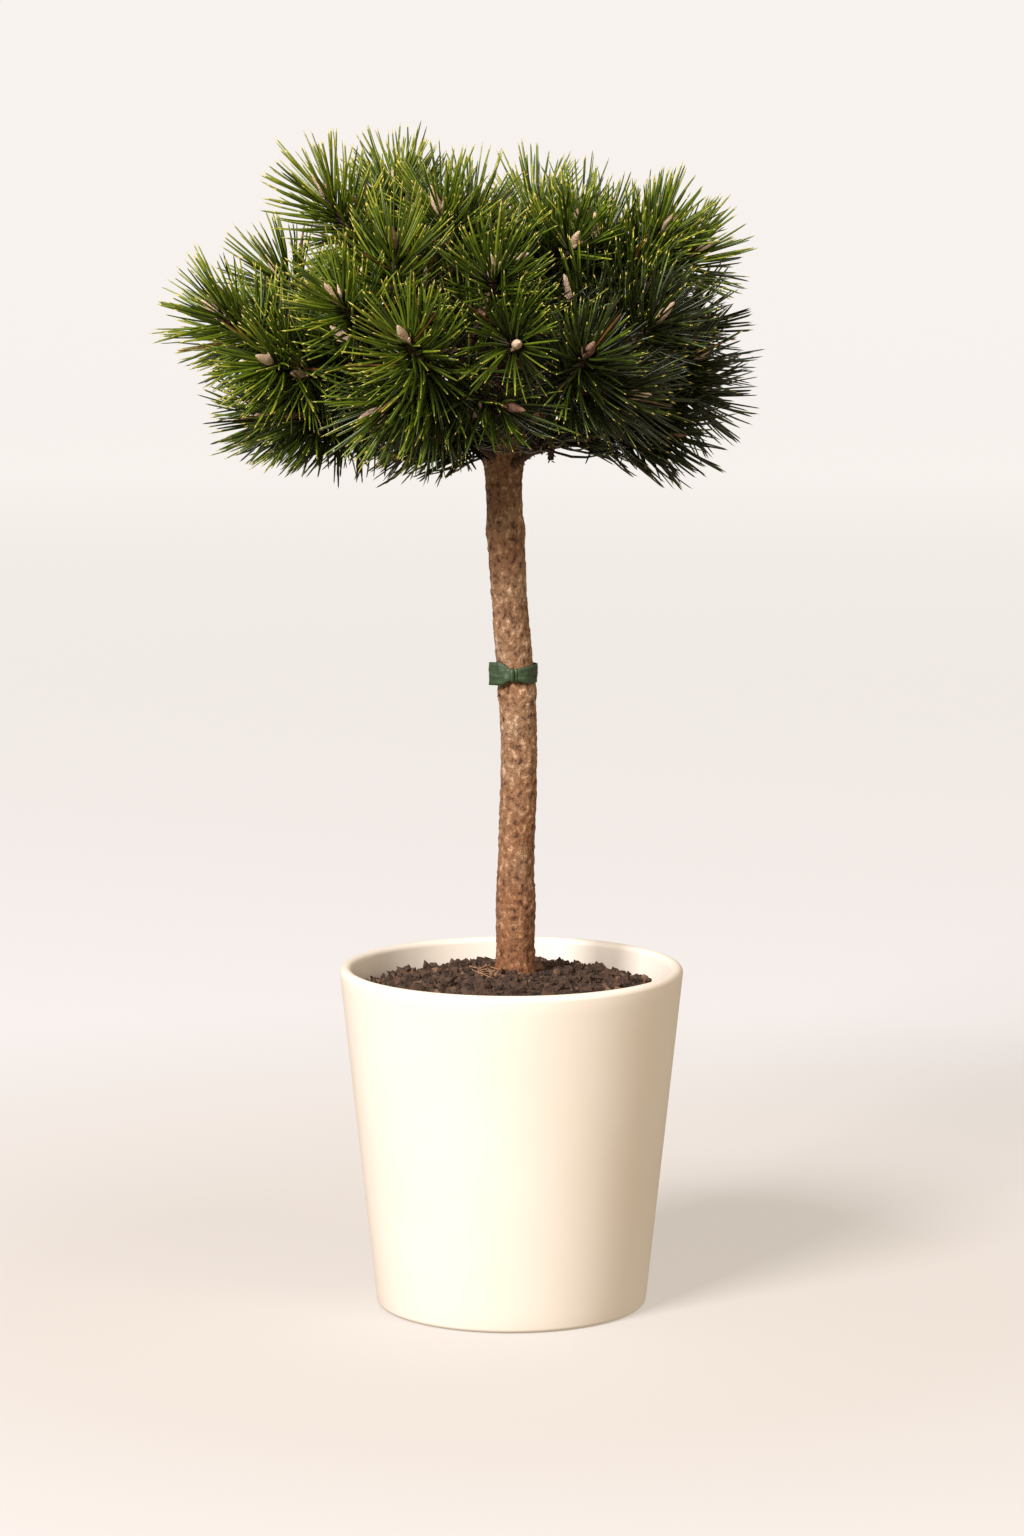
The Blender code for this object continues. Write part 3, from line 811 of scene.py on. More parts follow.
MASSES = (
    Mass("left", -161, 18, 0.226, 114, 18, 0.92, 3, True),
    Mass("left_low", -177, -5, 0.183, 87, 22, 0.91, 2, True),
    Mass("top_left", -159, 48, 0.206, -29, 20, 0.84, 2, True),
    Mass("front_left", -128, 24, 0.208, 21, 16, 0.92, 2, True),
    Mass("front_centre_left", -110, 16, 0.210, -139, 22, 0.80, 2, True),
    Mass("front_low", -120, -14, 0.108, 178, 20, 0.90, 1, False),
    Mass("top_front", -129, 62, 0.165, -9, 20, 0.86, 2, True),
    Mass("front_centre", -94, 38, 0.167, 163, 23, 1.13, 2, True),
    Mass("top_centre", 0, 69, 0.139, -95, 23, 1.00, 3, True),
    Mass("top_right", -14, 47, 0.175, 150, 10, 1.02, 2, True),
    Mass("right_front", -42, 25, 0.166, 36, 19, 0.87, 2, True),
    Mass("front_right", -72, 14, 0.195, 119, 20, 0.84, 2, True),
    Mass("right", -4, 14, 0.147, 132, 21, 1.04, 2, True),
    Mass("right_low", -13, -12, 0.131, -112, 17, 0.80, 2, False),
    Mass("front_low_right", -60, -20, 0.100, 100, 30, 0.95, 1, False),
    Mass("back_left_top", 128, 48, 0.196, 40, 22, 0.90, 3, True),
    Mass("back_left", 146, 16, 0.214, -100, 22, 0.92, 3, True),
    Mass("back_top", 74, 58, 0.168, 200, 22, 0.95, 2, True),
    Mass("back", 97, 20, 0.206, -100, 22, 0.90, 3, True),
    Mass("back_right", 52, 18, 0.190, -80, 24, 0.90, 3, True),
    Mass("back_right_top", 26, 44, 0.176, 40, 22, 0.90, 2, True),
    Mass("back_low_left", 136, -13, 0.128, 170, 26, 0.85, 2, False),
    Mass("back_low_right", 60, -15, 0.122, 170, 26, 0.85, 2, False),
)


@dataclass(frozen=True)
class StemRule:
    """The stem's middle line, as rows of height, place across and place deep, and its radius."""

    line: tuple[Point, ...] = (
        (0.2343, 0.0028, 0.0000),
        (0.3000, 0.0030, 0.0008),
        (0.3700, 0.0052, 0.0015),
        (0.4250, 0.0044, 0.0010),
        (0.4900, -0.0010, -0.0010),
        (0.5500, -0.0043, -0.0018),
        (0.6000, -0.0053, -0.0010),
        (0.6750, -0.0040, 0.0000),
    )
    radius: float = 0.0126
    flare: float = 0.0028
    flare_height: float = 0.020
    head_radius: float = 0.0158
    head_foot: float = 0.575
    head_rise: float = 0.03
    head_top: float = 0.640
    tip_radius: float = 0.0065
    whorls: tuple[Point, ...] = ((0.283, 0.0010, 0.018), (0.432, 0.0010, 0.006), (0.545, 0.0012, 0.006))

    def points(self, count: int) -> Array:
        """Gives points up the stem, evenly by station."""
        return along(np.array(self.line), np.linspace(0, 1, count))[:, [1, 2, 0]]

    def at(self, height: Array) -> Array:
        """Gives the stem's middle at heights.

        Args:
            height: The heights, in an array of any shape.

        Returns:
            A point for each, along a last axis.
        """
        run = self.points(120)
        height = np.asarray(height, float)
        sideways = np.interp(height, run[:, 2], run[:, 0])
        return np.stack([sideways, np.interp(height, run[:, 2], run[:, 1]), height], axis=-1)

    def radius_at(self, height: Array) -> Array:
        """Gives the radius at heights: shaft, root flare, whorls, the grafted head and its taper.

        The flare falls off as e^(-z / flare height), a whorl is a bell curve, the head swells by
        3s^2 - 2s^3, and the tip narrows in a straight line.

        Args:
            height: The heights.

        Returns:
            A radius for each.
        """
        height = np.asarray(height, float)
        foot, top = self.line[0][0], self.line[-1][0]
        radius = self.radius + self.flare * np.exp(-(height - foot) / self.flare_height)
        for place, rise, half in self.whorls:
            radius = radius + rise * np.exp(-(((height - place) / half) ** 2))
        swell = np.clip((height - self.head_foot) / self.head_rise, 0, 1)
        radius = radius + (self.head_radius - self.radius) * swell * swell * (3 - 2 * swell)
        taper = np.clip((height - self.head_top) / (top - self.head_top), 0, 1)
        return radius + (self.tip_radius - radius) * taper


STEM = StemRule()


@dataclass
class GrowthRule:
    """Where limbs and shoots run. The fields repeat the source's driving sizes."""

    centre: Point = (-0.0045, 0.0, 0.638)
    root_heights: tuple[float, float] = (0.588, 0.660)
    root_elevations: tuple[float, float] = (-20.0, 62.0)
    root_spacing: float = 0.0145
    bough_share: float = 0.40
    side_start: float = 0.52
    side_turn: float = 150.0
    light_turn: float = 0.42
    light_from: float = -8.0
    light_full: float = 22.0
    least_light: float = -0.35
    launch_base: float = 14.0
    launch_rise: float = 0.75
    launch_range: tuple[float, float] = (12.0, 70.0)

    def __post_init__(self) -> None:
        """Places the limbs' roots once."""
        self.middle = np.array(self.centre)
        self.roots = self.bough_roots()

    def bough_roots(self) -> list[tuple[float, float]]:
        """Places each limb's root on the stem's head, eased apart on the bark.

        Roots nearer than the spacing push each other apart over 400 small steps.

        Returns:
            An azimuth in degrees and a height for each mass.
        """
        low, high = self.root_heights
        radius = STEM.head_radius
        heights = np.interp([m.elevation for m in MASSES], self.root_elevations, self.root_heights)
        place = np.stack([np.radians([m.azimuth for m in MASSES]) * radius, heights], axis=1)
        girth = 2 * math.pi * radius
        others = 1 - np.eye(len(MASSES))
        for _ in range(400):
            apart = place[:, None] - place[None]
            apart[..., 0] -= girth * np.round(apart[..., 0] / girth)
            distance = np.linalg.norm(apart, axis=2) + np.eye(len(MASSES))
            push = np.clip(self.root_spacing - distance, 0, None) * others
            place += (apart / distance[..., None] * push[..., None]).sum(axis=1) * 0.3
            place[:, 1] = np.clip(place[:, 1], low, high)
        return [(math.degrees(a / radius), h) for a, h in place]

    def tilted(self, mass: Mass, roll: float, spread: float) -> Array:
        """Tilts a mass's own direction by spread: roll 0 tilts it up, 90 round the crown.

        Args:
            mass: The mass.
            roll: Which way, in degrees.
            spread: How far, in degrees.

        Returns:
            The tilted unit vector.
        """
        middle = outward(mass.azimuth, mass.elevation)
        up = outward(mass.azimuth, mass.elevation + 90)
        side = np.cross(up, middle)
        turn, tilt = math.radians(roll), math.radians(spread)
        return middle * math.cos(tilt) + (up * math.cos(turn) + side * math.sin(turn)) * math.sin(tilt)

    def bud(self, away: Array, reach: float) -> tuple[Array, Array]:
        """Gives a bud's tip and its shoot's heading there, turned part of the way up to the light.

        Args:
            away: The shoot's direction from the crown's centre.
            reach: Its distance.

        Returns:
            The tip and the heading.
        """
        azimuth = math.degrees(math.atan2(away[1], away[0]))
        elevation = math.degrees(math.asin(away[2]))
        lit = (elevation - self.light_from) / (self.light_full - self.light_from)
        turn = self.light_turn * min(1.0, max(self.least_light, lit))
        return self.middle + away * reach, outward(azimuth, elevation + (90 - elevation) * turn)

    def shoot_away(self, mass: Mass, index: int) -> tuple[Array, float]:
        """Gives the direction and the reach of a shoot of the source's.

        Args:
            mass: Its mass.
            index: 0 for the leader, or the side shoot's number.

        Returns:
            The direction from the crown's centre, and the distance.
        """
        if index == 0:
            return outward(mass.azimuth, mass.elevation), mass.reach
        roll = mass.roll + (index - 1) * self.side_turn
        return self.tilted(mass, roll, mass.spread), mass.reach * mass.side_reach

    def leader(self, number: int, share: Array) -> Array:
        """Runs a mass's limb from the stem's middle to its leading bud.

        Args:
            number: The mass's number.
            share: Places along the limb.

        Returns:
            The limb's points there.
        """
        mass, (azimuth, height) = MASSES[number], self.roots[number]
        start = STEM.at(height)
        away, reach = self.shoot_away(mass, 0)
        tip, heading = self.bud(away, reach)
        length = float(np.linalg.norm(tip - start))
        low, high = self.launch_range
        rise = mass.elevation * self.launch_rise + self.launch_base
        launch = outward(azimuth, max(low, min(high, rise)))
        return bezier(start, start + launch * length * 0.34, tip - heading * length * 0.34, tip, share)

    def branch(self, number: int, start_share: float, away: Array, reach: float, share: Array) -> Array:
        """Runs a shoot from a place on the leader to its own bud.

        Args:
            number: The mass's number.
            start_share: Where on the leader it forks off.
            away: The bud's direction from the crown's centre.
            reach: The bud's distance.
            share: Places along the shoot.

        Returns:
            The shoot's points.
        """
        start, ahead = self.leader(number, np.array([start_share, start_share + 0.05]))
        tip, heading = self.bud(away, reach)
        length = float(np.linalg.norm(tip - start))
        leave = unit(ahead - start)
        return bezier(start, start + leave * length * 0.3, tip - heading * length * 0.4, tip, share)

    def bark_share(self, number: int) -> float:
        """Gives the share of a limb that lies inside the stem's bark.

        Args:
            number: The mass's number.

        Returns:
            The share of the way along it at which it comes out.
        """
        share = np.linspace(0, 0.6, 241)
        line = self.leader(number, share)
        out = np.linalg.norm(line - STEM.at(line[:, 2]), axis=1)
        return float(share[int(np.argmax(out > STEM.radius_at(self.roots[number][1]) * 0.8))])


@dataclass
class Shoot:
    """One needled shoot: its mass's number, its line from fork to bud, how full it is, and a seed."""

    mass: int
    line: Array
    full: float
    seed: int


# Needles


class Green(Enum):
    """The needle colours, in the order of the needle piece's materials."""

    DEEP = 0
    MID = 1
    BRIGHT = 2
    OLIVE = 3
    TIP = 4
    RUST = 5


# deep, mid, bright and olive are steps of painted light and shade on one green, from the shaded deep to the
# lit olive; tip and rust are the yellow ends and the dead needles
GREENS = (
    NeedleFinish("needle_deep", (0.024, 0.034, 0.002), (0.009, 0.013, 0.001)),
    NeedleFinish("needle_mid", (0.064, 0.100, 0.005), (0.031, 0.054, 0.003)),
    NeedleFinish("needle_bright", (0.170, 0.232, 0.012), (0.092, 0.142, 0.007)),
    NeedleFinish("needle_olive", (0.340, 0.350, 0.030), (0.190, 0.225, 0.015)),
    NeedleFinish("needle_tip", (0.760, 0.600, 0.130), (0.480, 0.400, 0.060)),
    NeedleFinish("needle_rust", (0.260, 0.090, 0.018), (0.140, 0.050, 0.012)),
)


@dataclass
class NeedleSpray:
    """How the needles stand on a shoot and what one looks like."""

    young: int = 84
    old: int = 26
    young_zone: float = 0.047
    old_zone: float = 0.045
    bud_length: float = 0.023
    length: float = 0.0575
    width: float = 0.00185
    thickness: float = 0.00105
    lean_at_bud: float = 26.0
    lean_at_foot: float = 82.0
    lean_of_old: float = 96.0
    splay: float = 5.0
    golden_angle: float = 137.508
    most_lift: float = 0.30
    skirt_line: tuple[tuple[float, float], ...] = (
        (-0.240, 0.625),
        (-0.218, 0.612),
        (-0.185, 0.593),
        (-0.106, 0.588),
        (-0.038, 0.588),
        (-0.012, 0.603),
        (0.020, 0.612),
        (0.062, 0.610),
        (0.093, 0.588),
        (0.126, 0.561),
        (0.151, 0.592),
        (0.170, 0.632),
    )
    stations: tuple[float, ...] = (0.0, 0.20, 0.48, 0.74, 0.94)
    widths: tuple[float, ...] = (0.62, 0.95, 1.0, 0.88, 0.55)

    def rays(self, shoot: Shoot) -> dict[str, Array]:
        """Works out every needle of a shoot as arrays.

        Fascicles stand in a golden spiral. Young ones lean forward more the nearer they are to the
        bud, old ones stand square to the wood, and each carries a pair that splays a little.

        Args:
            shoot: The shoot.

        Returns:
            Arrays root, aim, bend, flat, length and age, a row for each needle.
        """
        rng = np.random.default_rng(shoot.seed)
        run = travelled(shoot.line)[-1]
        young, old = int(self.young * shoot.full), int(self.old * shoot.full)
        share = (np.arange(young) + 0.5) / young
        foot = run - self.bud_length * 0.9
        oldest = foot - self.young_zone - self.old_zone * rng.uniform(0, 1, old)
        place = np.concatenate([foot - self.young_zone * (1 - share), oldest])
        lean = np.concatenate(
            [
                self.lean_at_foot + (self.lean_at_bud - self.lean_at_foot) * share**1.5,
                np.full(old, self.lean_of_old),
            ]
        )
        size = rng.uniform(0.84, 1.0, young) * (0.92 + 0.08 * share)
        size = np.concatenate([size, rng.uniform(0.55, 0.85, old)])
        age = np.concatenate([np.zeros(young), np.ones(old)])
        turn = rng.uniform(0, 360) + np.arange(young + old) * self.golden_angle
        lean = lean + rng.normal(0, 6.5, len(lean))
        keep = place > 0.006
        place, lean, size, age, turn = (values[keep] for values in (place, lean, size, age, turn))
        root, heading = points_at(shoot.line, place)
        u, v = frames_round(heading)
        a = np.radians(turn)[:, None]
        side = u * np.cos(a) + v * np.sin(a)
        tangent = np.cross(heading, side)
        t = np.radians(lean)[:, None]
        middle = heading * np.cos(t) + side * np.sin(t)
        out = {key: [] for key in ("root", "aim", "bend", "flat", "length", "age")}
        for sign in (-1.0, 1.0):
            splay = np.radians(self.splay * sign * rng.uniform(0.4, 1.5, len(place)))[:, None]
            twist = rng.uniform(0, math.pi, len(place))[:, None]
            apart = tangent * np.cos(twist) + np.cross(middle, tangent) * np.sin(twist)
            aim = unit(middle * np.cos(splay) + apart * np.sin(splay))
            bend = heading * rng.uniform(0.0, 0.24, len(place))[:, None]
            bend = bend + rng.normal(0, 0.04, (len(place), 3)) - np.array((0, 0, 0.02))
            bend = bend - aim * (bend * aim).sum(axis=1, keepdims=True)
            out["root"].append(root + side * 0.0012)
            out["aim"].append(aim)
            out["bend"].append(bend)
            out["flat"].append(unit(np.cross(aim, apart) + 1e-6))
            out["length"].append(self.length * size * rng.uniform(0.94, 1.0, len(place)))
            out["age"].append(age)
        rays = {key: np.concatenate(values) for key, values in out.items()}
        return self.lifted(rays, rng)

    def skirt(self, x: Array, y: Array) -> Array:
        """Gives the height that needles seldom hang below.

        It is the skirt line's height at x, read straight between its points, and it falls towards the
        back.

        Args:
            x: Places across.
            y: Places deep.

        Returns:
            Heights.
        """
        across, heights = np.array(self.skirt_line).T
        return np.interp(x, across, heights) - 0.08 * (y + 0.05)

    def lifted(self, rays: dict[str, Array], rng: np.random.Generator) -> dict[str, Array]:
        """Bends needles that would hang under the skirt up to it, and drops those that can't be.

        Args:
            rays: The needles.
            rng: The random numbers.

        Returns:
            The needles that are left.
        """
        length = rays["length"]
        tip = rays["root"] + (rays["aim"] + rays["bend"]) * length[:, None]
        need = self.skirt(tip[:, 0], tip[:, 1]) + rng.normal(0, 0.005, len(tip)) - tip[:, 2]
        rays["bend"][:, 2] += np.clip(need / length, 0, self.most_lift)
        keep = need / length < self.most_lift
        return {key: values[keep] for key, values in rays.items()}

    def mesh(self, rays: dict[str, Array], body: Index, tip: Index) -> tuple[Array, Faces, Index]:
        """Makes all the needles of some rays.

        A needle's middle line is root + aim L t + bend L t^2. Its section is a flat triangle that
        narrows to a point.

        Args:
            rays: The needles' arrays.
            body: The colour number of each needle. Its lowest part is one step deeper, painted shade
                at the needle's foot, and the part behind a yellow tip one step brighter, painted light.
            tip: The colour number of its last part.

        Returns:
            The vertices, the face blocks and a material number for each face.
        """
        count = len(rays["root"])
        t = np.array(self.stations)[None, :, None]
        length = rays["length"][:, None, None]
        aim, bend = rays["aim"][:, None], rays["bend"][:, None]
        line = rays["root"][:, None] + aim * length * t + bend * length * t**2
        heading = unit(aim + 2 * bend * t)
        flat = rays["flat"][:, None]
        wide = unit(flat - heading * (heading * flat).sum(-1, keepdims=True))
        thin = np.cross(heading, wide)
        scale = np.array(self.widths)[None, :, None]
        corners = [
            line + wide * self.width / 2 * scale,
            line + thin * self.thickness * scale,
            line - wide * self.width / 2 * scale,
        ]
        rings = np.stack(corners, axis=2)
        end = rays["root"] + (rays["aim"] + rays["bend"]) * rays["length"][:, None]
        verts = np.concatenate([rings.reshape(count, -1, 3), end[:, None]], axis=1)
        size = verts.shape[1]
        last = len(self.stations) - 1
        wall = ring_faces(len(self.stations), 3)
        point = cap_faces(last * 3, 3, size - 1, True)
        foot = np.array([[2, 1, 0]])
        offset = (np.arange(count) * size)[:, None, None]
        quads = (wall[None] + offset).reshape(-1, 4)
        tris = (np.vstack([point, foot])[None] + offset).reshape(-1, 3)
        quad_slots = np.repeat(body[:, None], len(wall), axis=1)
        # painted shade: the foot of each needle is one green step deeper
        quad_slots[:, :3] = np.where(body < Green.OLIVE.value, np.maximum(body - 1, 0), body)[:, None]
        # painted light: behind a yellow tip, the needle's last part is one green step brighter
        brighter = (tip == Green.TIP.value) & (body < Green.OLIVE.value)
        quad_slots[:, -3:] = np.where(brighter, body + 1, body)[:, None]
        tri_slots = np.repeat(tip[:, None], 4, axis=1)
        tri_slots[:, 3] = body
        return verts, [quads, tris], np.concatenate([quad_slots.ravel(), tri_slots.ravel()])


# Crown


NEEDLE_PIECES = {
    "needles_left": ("left", "left_low", "back_left", "back_low_left"),
    "needles_front": ("front_left", "front_centre_left", "front_low", "front_centre", "front_low_right"),
    "needles_right": ("front_right", "right_front", "right", "right_low", "back_right", "back_low_right"),
    "needles_top": ("top_left", "top_front", "top_centre", "top_right", "back_right_top"),
    "needles_back": ("back_left_top", "back_top", "back"),
}


@dataclass
class Crown:
    """The needles, buds, shoots and boughs."""

    rule: GrowthRule
    spray: NeedleSpray
    finer_shoots: int = 3
    far_reach: float = 0.2
    bough_base: float = 0.0046
    bough_tip: float = 0.0034
    twig_radius: float = 0.0029
    shoot_radius: float = 0.0022
    bud_radius: float = 0.0036
    side_bud_radius: float = 0.0018
    bud_clearance: float = 0.012
    stub_count: int = 44
    overlap: float = 0.012
    stem_gap: float = 0.001
    lowest_bud: float = 0.604
    colour_radius: float = 0.19
    colour_steps: tuple[float, float, float] = (0.34, 0.60, 0.86)
    seed: int = 21

    def shoots(self) -> list[Shoot]:
        """Lists every shoot: the source's leaders and side shoots, then the finer ones between them.

        Returns:
            The shoots, mass by mass.
        """
        rng = np.random.default_rng(self.seed)
        share = np.linspace(0, 1, 48)
        found = []
        for number, mass in enumerate(MASSES):
            begin = self.rule.bough_share if mass.on_bough else self.rule.bark_share(number)
            line = self.rule.leader(number, begin + (1 - begin) * share)
            found.append(Shoot(number, line, 1.0, number * 100))
            for index in range(1, mass.shoots):
                away, reach = self.rule.shoot_away(mass, index)
                line = self.rule.branch(number, self.rule.side_start, away, reach, share)
                found.append(Shoot(number, line, 0.95, number * 100 + index))
            finer = self.finer_shoots + int(mass.reach > self.far_reach) - int(not mass.on_bough)
            for index in range(finer):
                roll = mass.roll + 75 + index * 360 / finer + rng.uniform(-20, 20)
                spread = mass.spread * rng.uniform(0.75, 1.15) + 4
                away = self.rule.tilted(mass, roll, spread)
                reach = mass.reach * rng.uniform(0.62, 0.84)
                if (self.rule.middle + away * reach)[2] < self.lowest_bud:
                    continue
                line = self.rule.branch(number, rng.uniform(0.40, 0.55), away, reach, share)
                found.append(Shoot(number, line, 0.85, number * 100 + 10 + index))
        return found

    def allowed(
        self, rays: dict[str, Array], number: int, marks: Array, owners: Array
    ) -> NDArray[np.bool_]:
        """Tells which needles stay in their mass's space and off the stem.

        A mass's space is all that lies nearer to its own shoots than to any other's, and a needle
        may pass into the next by the overlap.

        Args:
            rays: The needles.
            number: Their mass.
            marks: Points on all shoots.
            owners: Each mark's mass.

        Returns:
            True for each needle to keep.
        """
        t = np.array([0.45, 0.75, 1.0])[None, :, None]
        length = rays["length"][:, None, None]
        aim, bend = rays["aim"][:, None], rays["bend"][:, None]
        spots = rays["root"][:, None] + aim * length * t + bend * length * t**2
        distance = np.linalg.norm(spots[:, :, None] - marks[None, None], axis=-1)
        own = np.where(owners == number, distance, np.inf).min(axis=-1)
        other = np.where(owners == number, np.inf, distance).min(axis=-1)
        inside = (other - own > -self.overlap).all(axis=1)
        height = spots[..., 2]
        off_stem = np.linalg.norm(spots - STEM.at(height), axis=-1) - STEM.radius_at(height)
        below_tip = height < STEM.line[-1][0]
        return inside & ((off_stem > self.stem_gap) | ~below_tip).all(axis=1)

    def colours(self, rays: dict[str, Array], rng: np.random.Generator) -> tuple[Index, Index]:
        """Deals colours out by place: bright and yellow-tipped above and outside, deep below and inside.

        A needle's light is painted light and shade. It grows with its height, its way forward on the
        lower crown and its distance from the middle: lighter where the key light falls on top, in front
        and outside, with painted shade inside. It falls with age, and with painted shade towards the
        lower right. Steps of it part the greens, and yellow tips come more often where it is higher.

        Args:
            rays: The needles.
            rng: The random numbers.

        Returns:
            The colour numbers of the needles' bodies and tips.
        """
        root = rays["root"]
        out = np.linalg.norm(root - self.rule.middle, axis=1) / self.colour_radius
        high = np.clip((root[:, 2] - 0.60) / 0.17, 0, 1)
        # painted shade: needles to the lower right, away from the key light, are dealt deeper greens
        shaded = np.clip((root[:, 0] + 0.03) / 0.12, 0, 1) * np.clip((0.74 - root[:, 2]) / 0.07, 0, 1)
        forward = np.clip(-root[:, 1] / 0.15, 0, 1) * (1 - high)
        # painted light: higher, further forward and further out needles are dealt lighter greens
        light = 0.32 * high + 0.08 * forward + 0.43 * np.clip(out, 0, 1.1)
        light = light - 0.35 * rays["age"] - 0.50 * shaded
        light = light + rng.normal(0, 0.13, len(root))
        body = np.digitize(light, self.colour_steps)
        dead = rng.uniform(size=len(root)) < 0.006 + 0.01 * rays["age"]
        body = np.where(dead, Green.RUST.value, body)
        # yellow tips are dealt more often where the painted light is higher
        yellow = rng.uniform(size=len(root)) < np.clip(0.32 + 0.75 * light, 0.02, 0.92)
        tip = np.where(yellow & (body != Green.RUST.value), Green.TIP.value, body)
        return body, tip

    def needles(self, shoots: list[Shoot]) -> None:
        """Makes the needle pieces, each for some neighbouring masses, under 200,000 triangles.

        Args:
            shoots: All shoots.
        """
        marks = np.vstack([shoot.line[::3] for shoot in shoots])
        owners = np.concatenate([np.full(len(shoot.line[::3]), shoot.mass) for shoot in shoots])
        rng = np.random.default_rng(self.seed + 1)
        materials = [finish.material() for finish in GREENS]
        for name, masses in NEEDLE_PIECES.items():
            parts = MeshParts(name)
            for shoot in shoots:
                if MASSES[shoot.mass].name not in masses:
                    continue
                rays = self.spray.rays(shoot)
                keep = self.allowed(rays, shoot.mass, marks, owners)
                if not keep.any():
                    continue
                rays = {key: values[keep] for key, values in rays.items()}
                body, tip = self.colours(rays, rng)
                verts, faces, slots = self.spray.mesh(rays, body, tip)
                parts.add(verts, faces, slots)
            LOG.info("%s: %d triangles", name, parts.triangles())
            piece = parts.build(materials)
            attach(piece, BODY)
            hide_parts(*("foliage_" + mass for mass in masses))

    def shoot_wood(self, shoots: list[Shoot]) -> None:
        """Makes the scaly wood of the shoots and the little stubs of old sheaths on it.

        A shoot's radius tapers from its fork to the bud and carries a low spiral of scars.

        Args:
            shoots: All shoots.
        """
        parts = MeshParts("shoots")
        sides = 8
        for shoot in shoots:
            run = travelled(shoot.line)[-1]
            count = max(12, int(run / 0.0032))
            distance = np.linspace(0, run - self.spray.bud_length * 0.85, count)
            line, _ = points_at(shoot.line, distance)
            taper = np.linspace(self.twig_radius * (0.75 + 0.25 * shoot.full), self.shoot_radius, count)
            angle = np.linspace(0, 2 * math.pi, sides, endpoint=False)
            way = distance[:, None]
            scars = np.sin(angle[None] * 3 + way * 1500) * np.sin(way * 2400 + shoot.seed)
            verts, faces = tube(line, taper[:, None] * (1 + 0.13 * scars), sides)
            parts.add(verts, faces)
        self.stubs(shoots, parts)
        piece = parts.build([SHOOT_BARK.material()])
        LOG.info("shoots: %d triangles", parts.triangles())
        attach(piece, BODY)

    def stubs(self, shoots: list[Shoot], parts: MeshParts) -> None:
        """Adds the short pointed remains of old sheaths behind the bud, in a golden spiral.

        Args:
            shoots: All shoots.
            parts: Where they go.
        """
        stub = NeedleSpray(
            length=0.0042, width=0.0013, thickness=0.0009, stations=(0.0, 0.6), widths=(1.0, 0.7)
        )
        for shoot in shoots:
            rng = np.random.default_rng(shoot.seed + 7)
            run = travelled(shoot.line)[-1]
            near = self.spray.bud_length * 0.8
            far = near + self.spray.young_zone + self.spray.old_zone
            place = run - rng.uniform(near, far, self.stub_count)
            place = place[place > 0.004]
            if not len(place):
                continue
            root, heading = points_at(shoot.line, place)
            u, v = frames_round(heading)
            a = np.radians(np.arange(len(place)) * self.spray.golden_angle)[:, None]
            side = u * np.cos(a) + v * np.sin(a)
            rays = {
                "root": root + side * self.shoot_radius * 0.7,
                "aim": unit(side + heading * 0.6),
                "bend": np.zeros_like(side),
                "flat": np.cross(heading, side),
                "length": stub.length * rng.uniform(0.6, 1.2, len(place)),
            }
            zero = np.zeros(len(place), int)
            verts, faces, slots = stub.mesh(rays, zero, zero)
            parts.add(verts, faces, slots)

    def candle(self, base: Array, heading: Array, length: float, radius: float) -> tuple[Array, Faces]:
        """Makes one bud: a spindle with a spiral of overlapping scales.

        The radius is R sin(pi s^0.8)^0.6 (1 - s / 4), with steps of a fifth where scales end.

        Args:
            base: Its foot.
            heading: Its direction.
            length: Its length.
            radius: Its largest radius.

        Returns:
            The vertices and face blocks.
        """
        rings, sides = 13, 8
        s = np.linspace(0.02, 0.98, rings)
        line = base + heading * (s * length)[:, None]
        spindle = radius * np.maximum(np.sin(math.pi * s**0.8), 0.05) ** 0.6 * (1 - 0.25 * s)
        angle = np.linspace(0, 2 * math.pi, sides, endpoint=False)
        scales = ((s[:, None] * 6 + angle[None] / math.pi) % 1.0) - 0.5
        return tube(line, spindle[:, None] * (1 - 0.20 * scales), sides)

    def buds(self, shoots: list[Shoot]) -> None:
        """Makes the candles: one on each shoot's end with one to three short ones beside it.

        A shoot that ends at the skirt or under it has none.

        Args:
            shoots: All shoots.
        """
        parts = MeshParts("buds")
        rng = np.random.default_rng(self.seed + 2)
        for shoot in shoots:
            run = travelled(shoot.line)[-1]
            tip = shoot.line[-1]
            if tip[2] < float(self.spray.skirt(tip[0], tip[1])) + self.bud_clearance:
                continue
            length = self.spray.bud_length * rng.uniform(0.8, 1.1)
            base, heading = points_at(shoot.line, np.array([run - length]))
            # painted shade: buds that end below 0.62 m, under the crown, take the dark bud scales; one in
            # five of the others take them as a darker tone
            shade = int(shoot.line[-1, 2] < 0.62 or rng.uniform() < 0.2)
            verts, faces = self.candle(base[0], heading[0], length, self.bud_radius)
            parts.add(verts, faces, shade)
            u, v = frames_round(heading)
            for index in range(int(rng.integers(1, 4))):
                turn = rng.uniform(0, 2 * math.pi) + index * 2.2
                side = u[0] * math.cos(turn) + v[0] * math.sin(turn)
                aim = unit(heading[0] + side * rng.uniform(0.35, 0.6))
                short = length * rng.uniform(0.4, 0.62)
                verts, faces = self.candle(base[0] + side * 0.001, aim, short, self.side_bud_radius)
                parts.add(verts, faces, shade)
        light = CrumblyFinish("bud_light", (0.84, 0.64, 0.47), (0.58, 0.36, 0.23)).material()
        # bud_dark serves as painted shade on the low buds and as a darker tone on some others
        dark = CrumblyFinish("bud_dark", (0.36, 0.20, 0.12), (0.17, 0.08, 0.05)).material()
        piece = parts.build([light, dark])
        LOG.info("buds: %d triangles", parts.triangles())
        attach(piece, BODY)

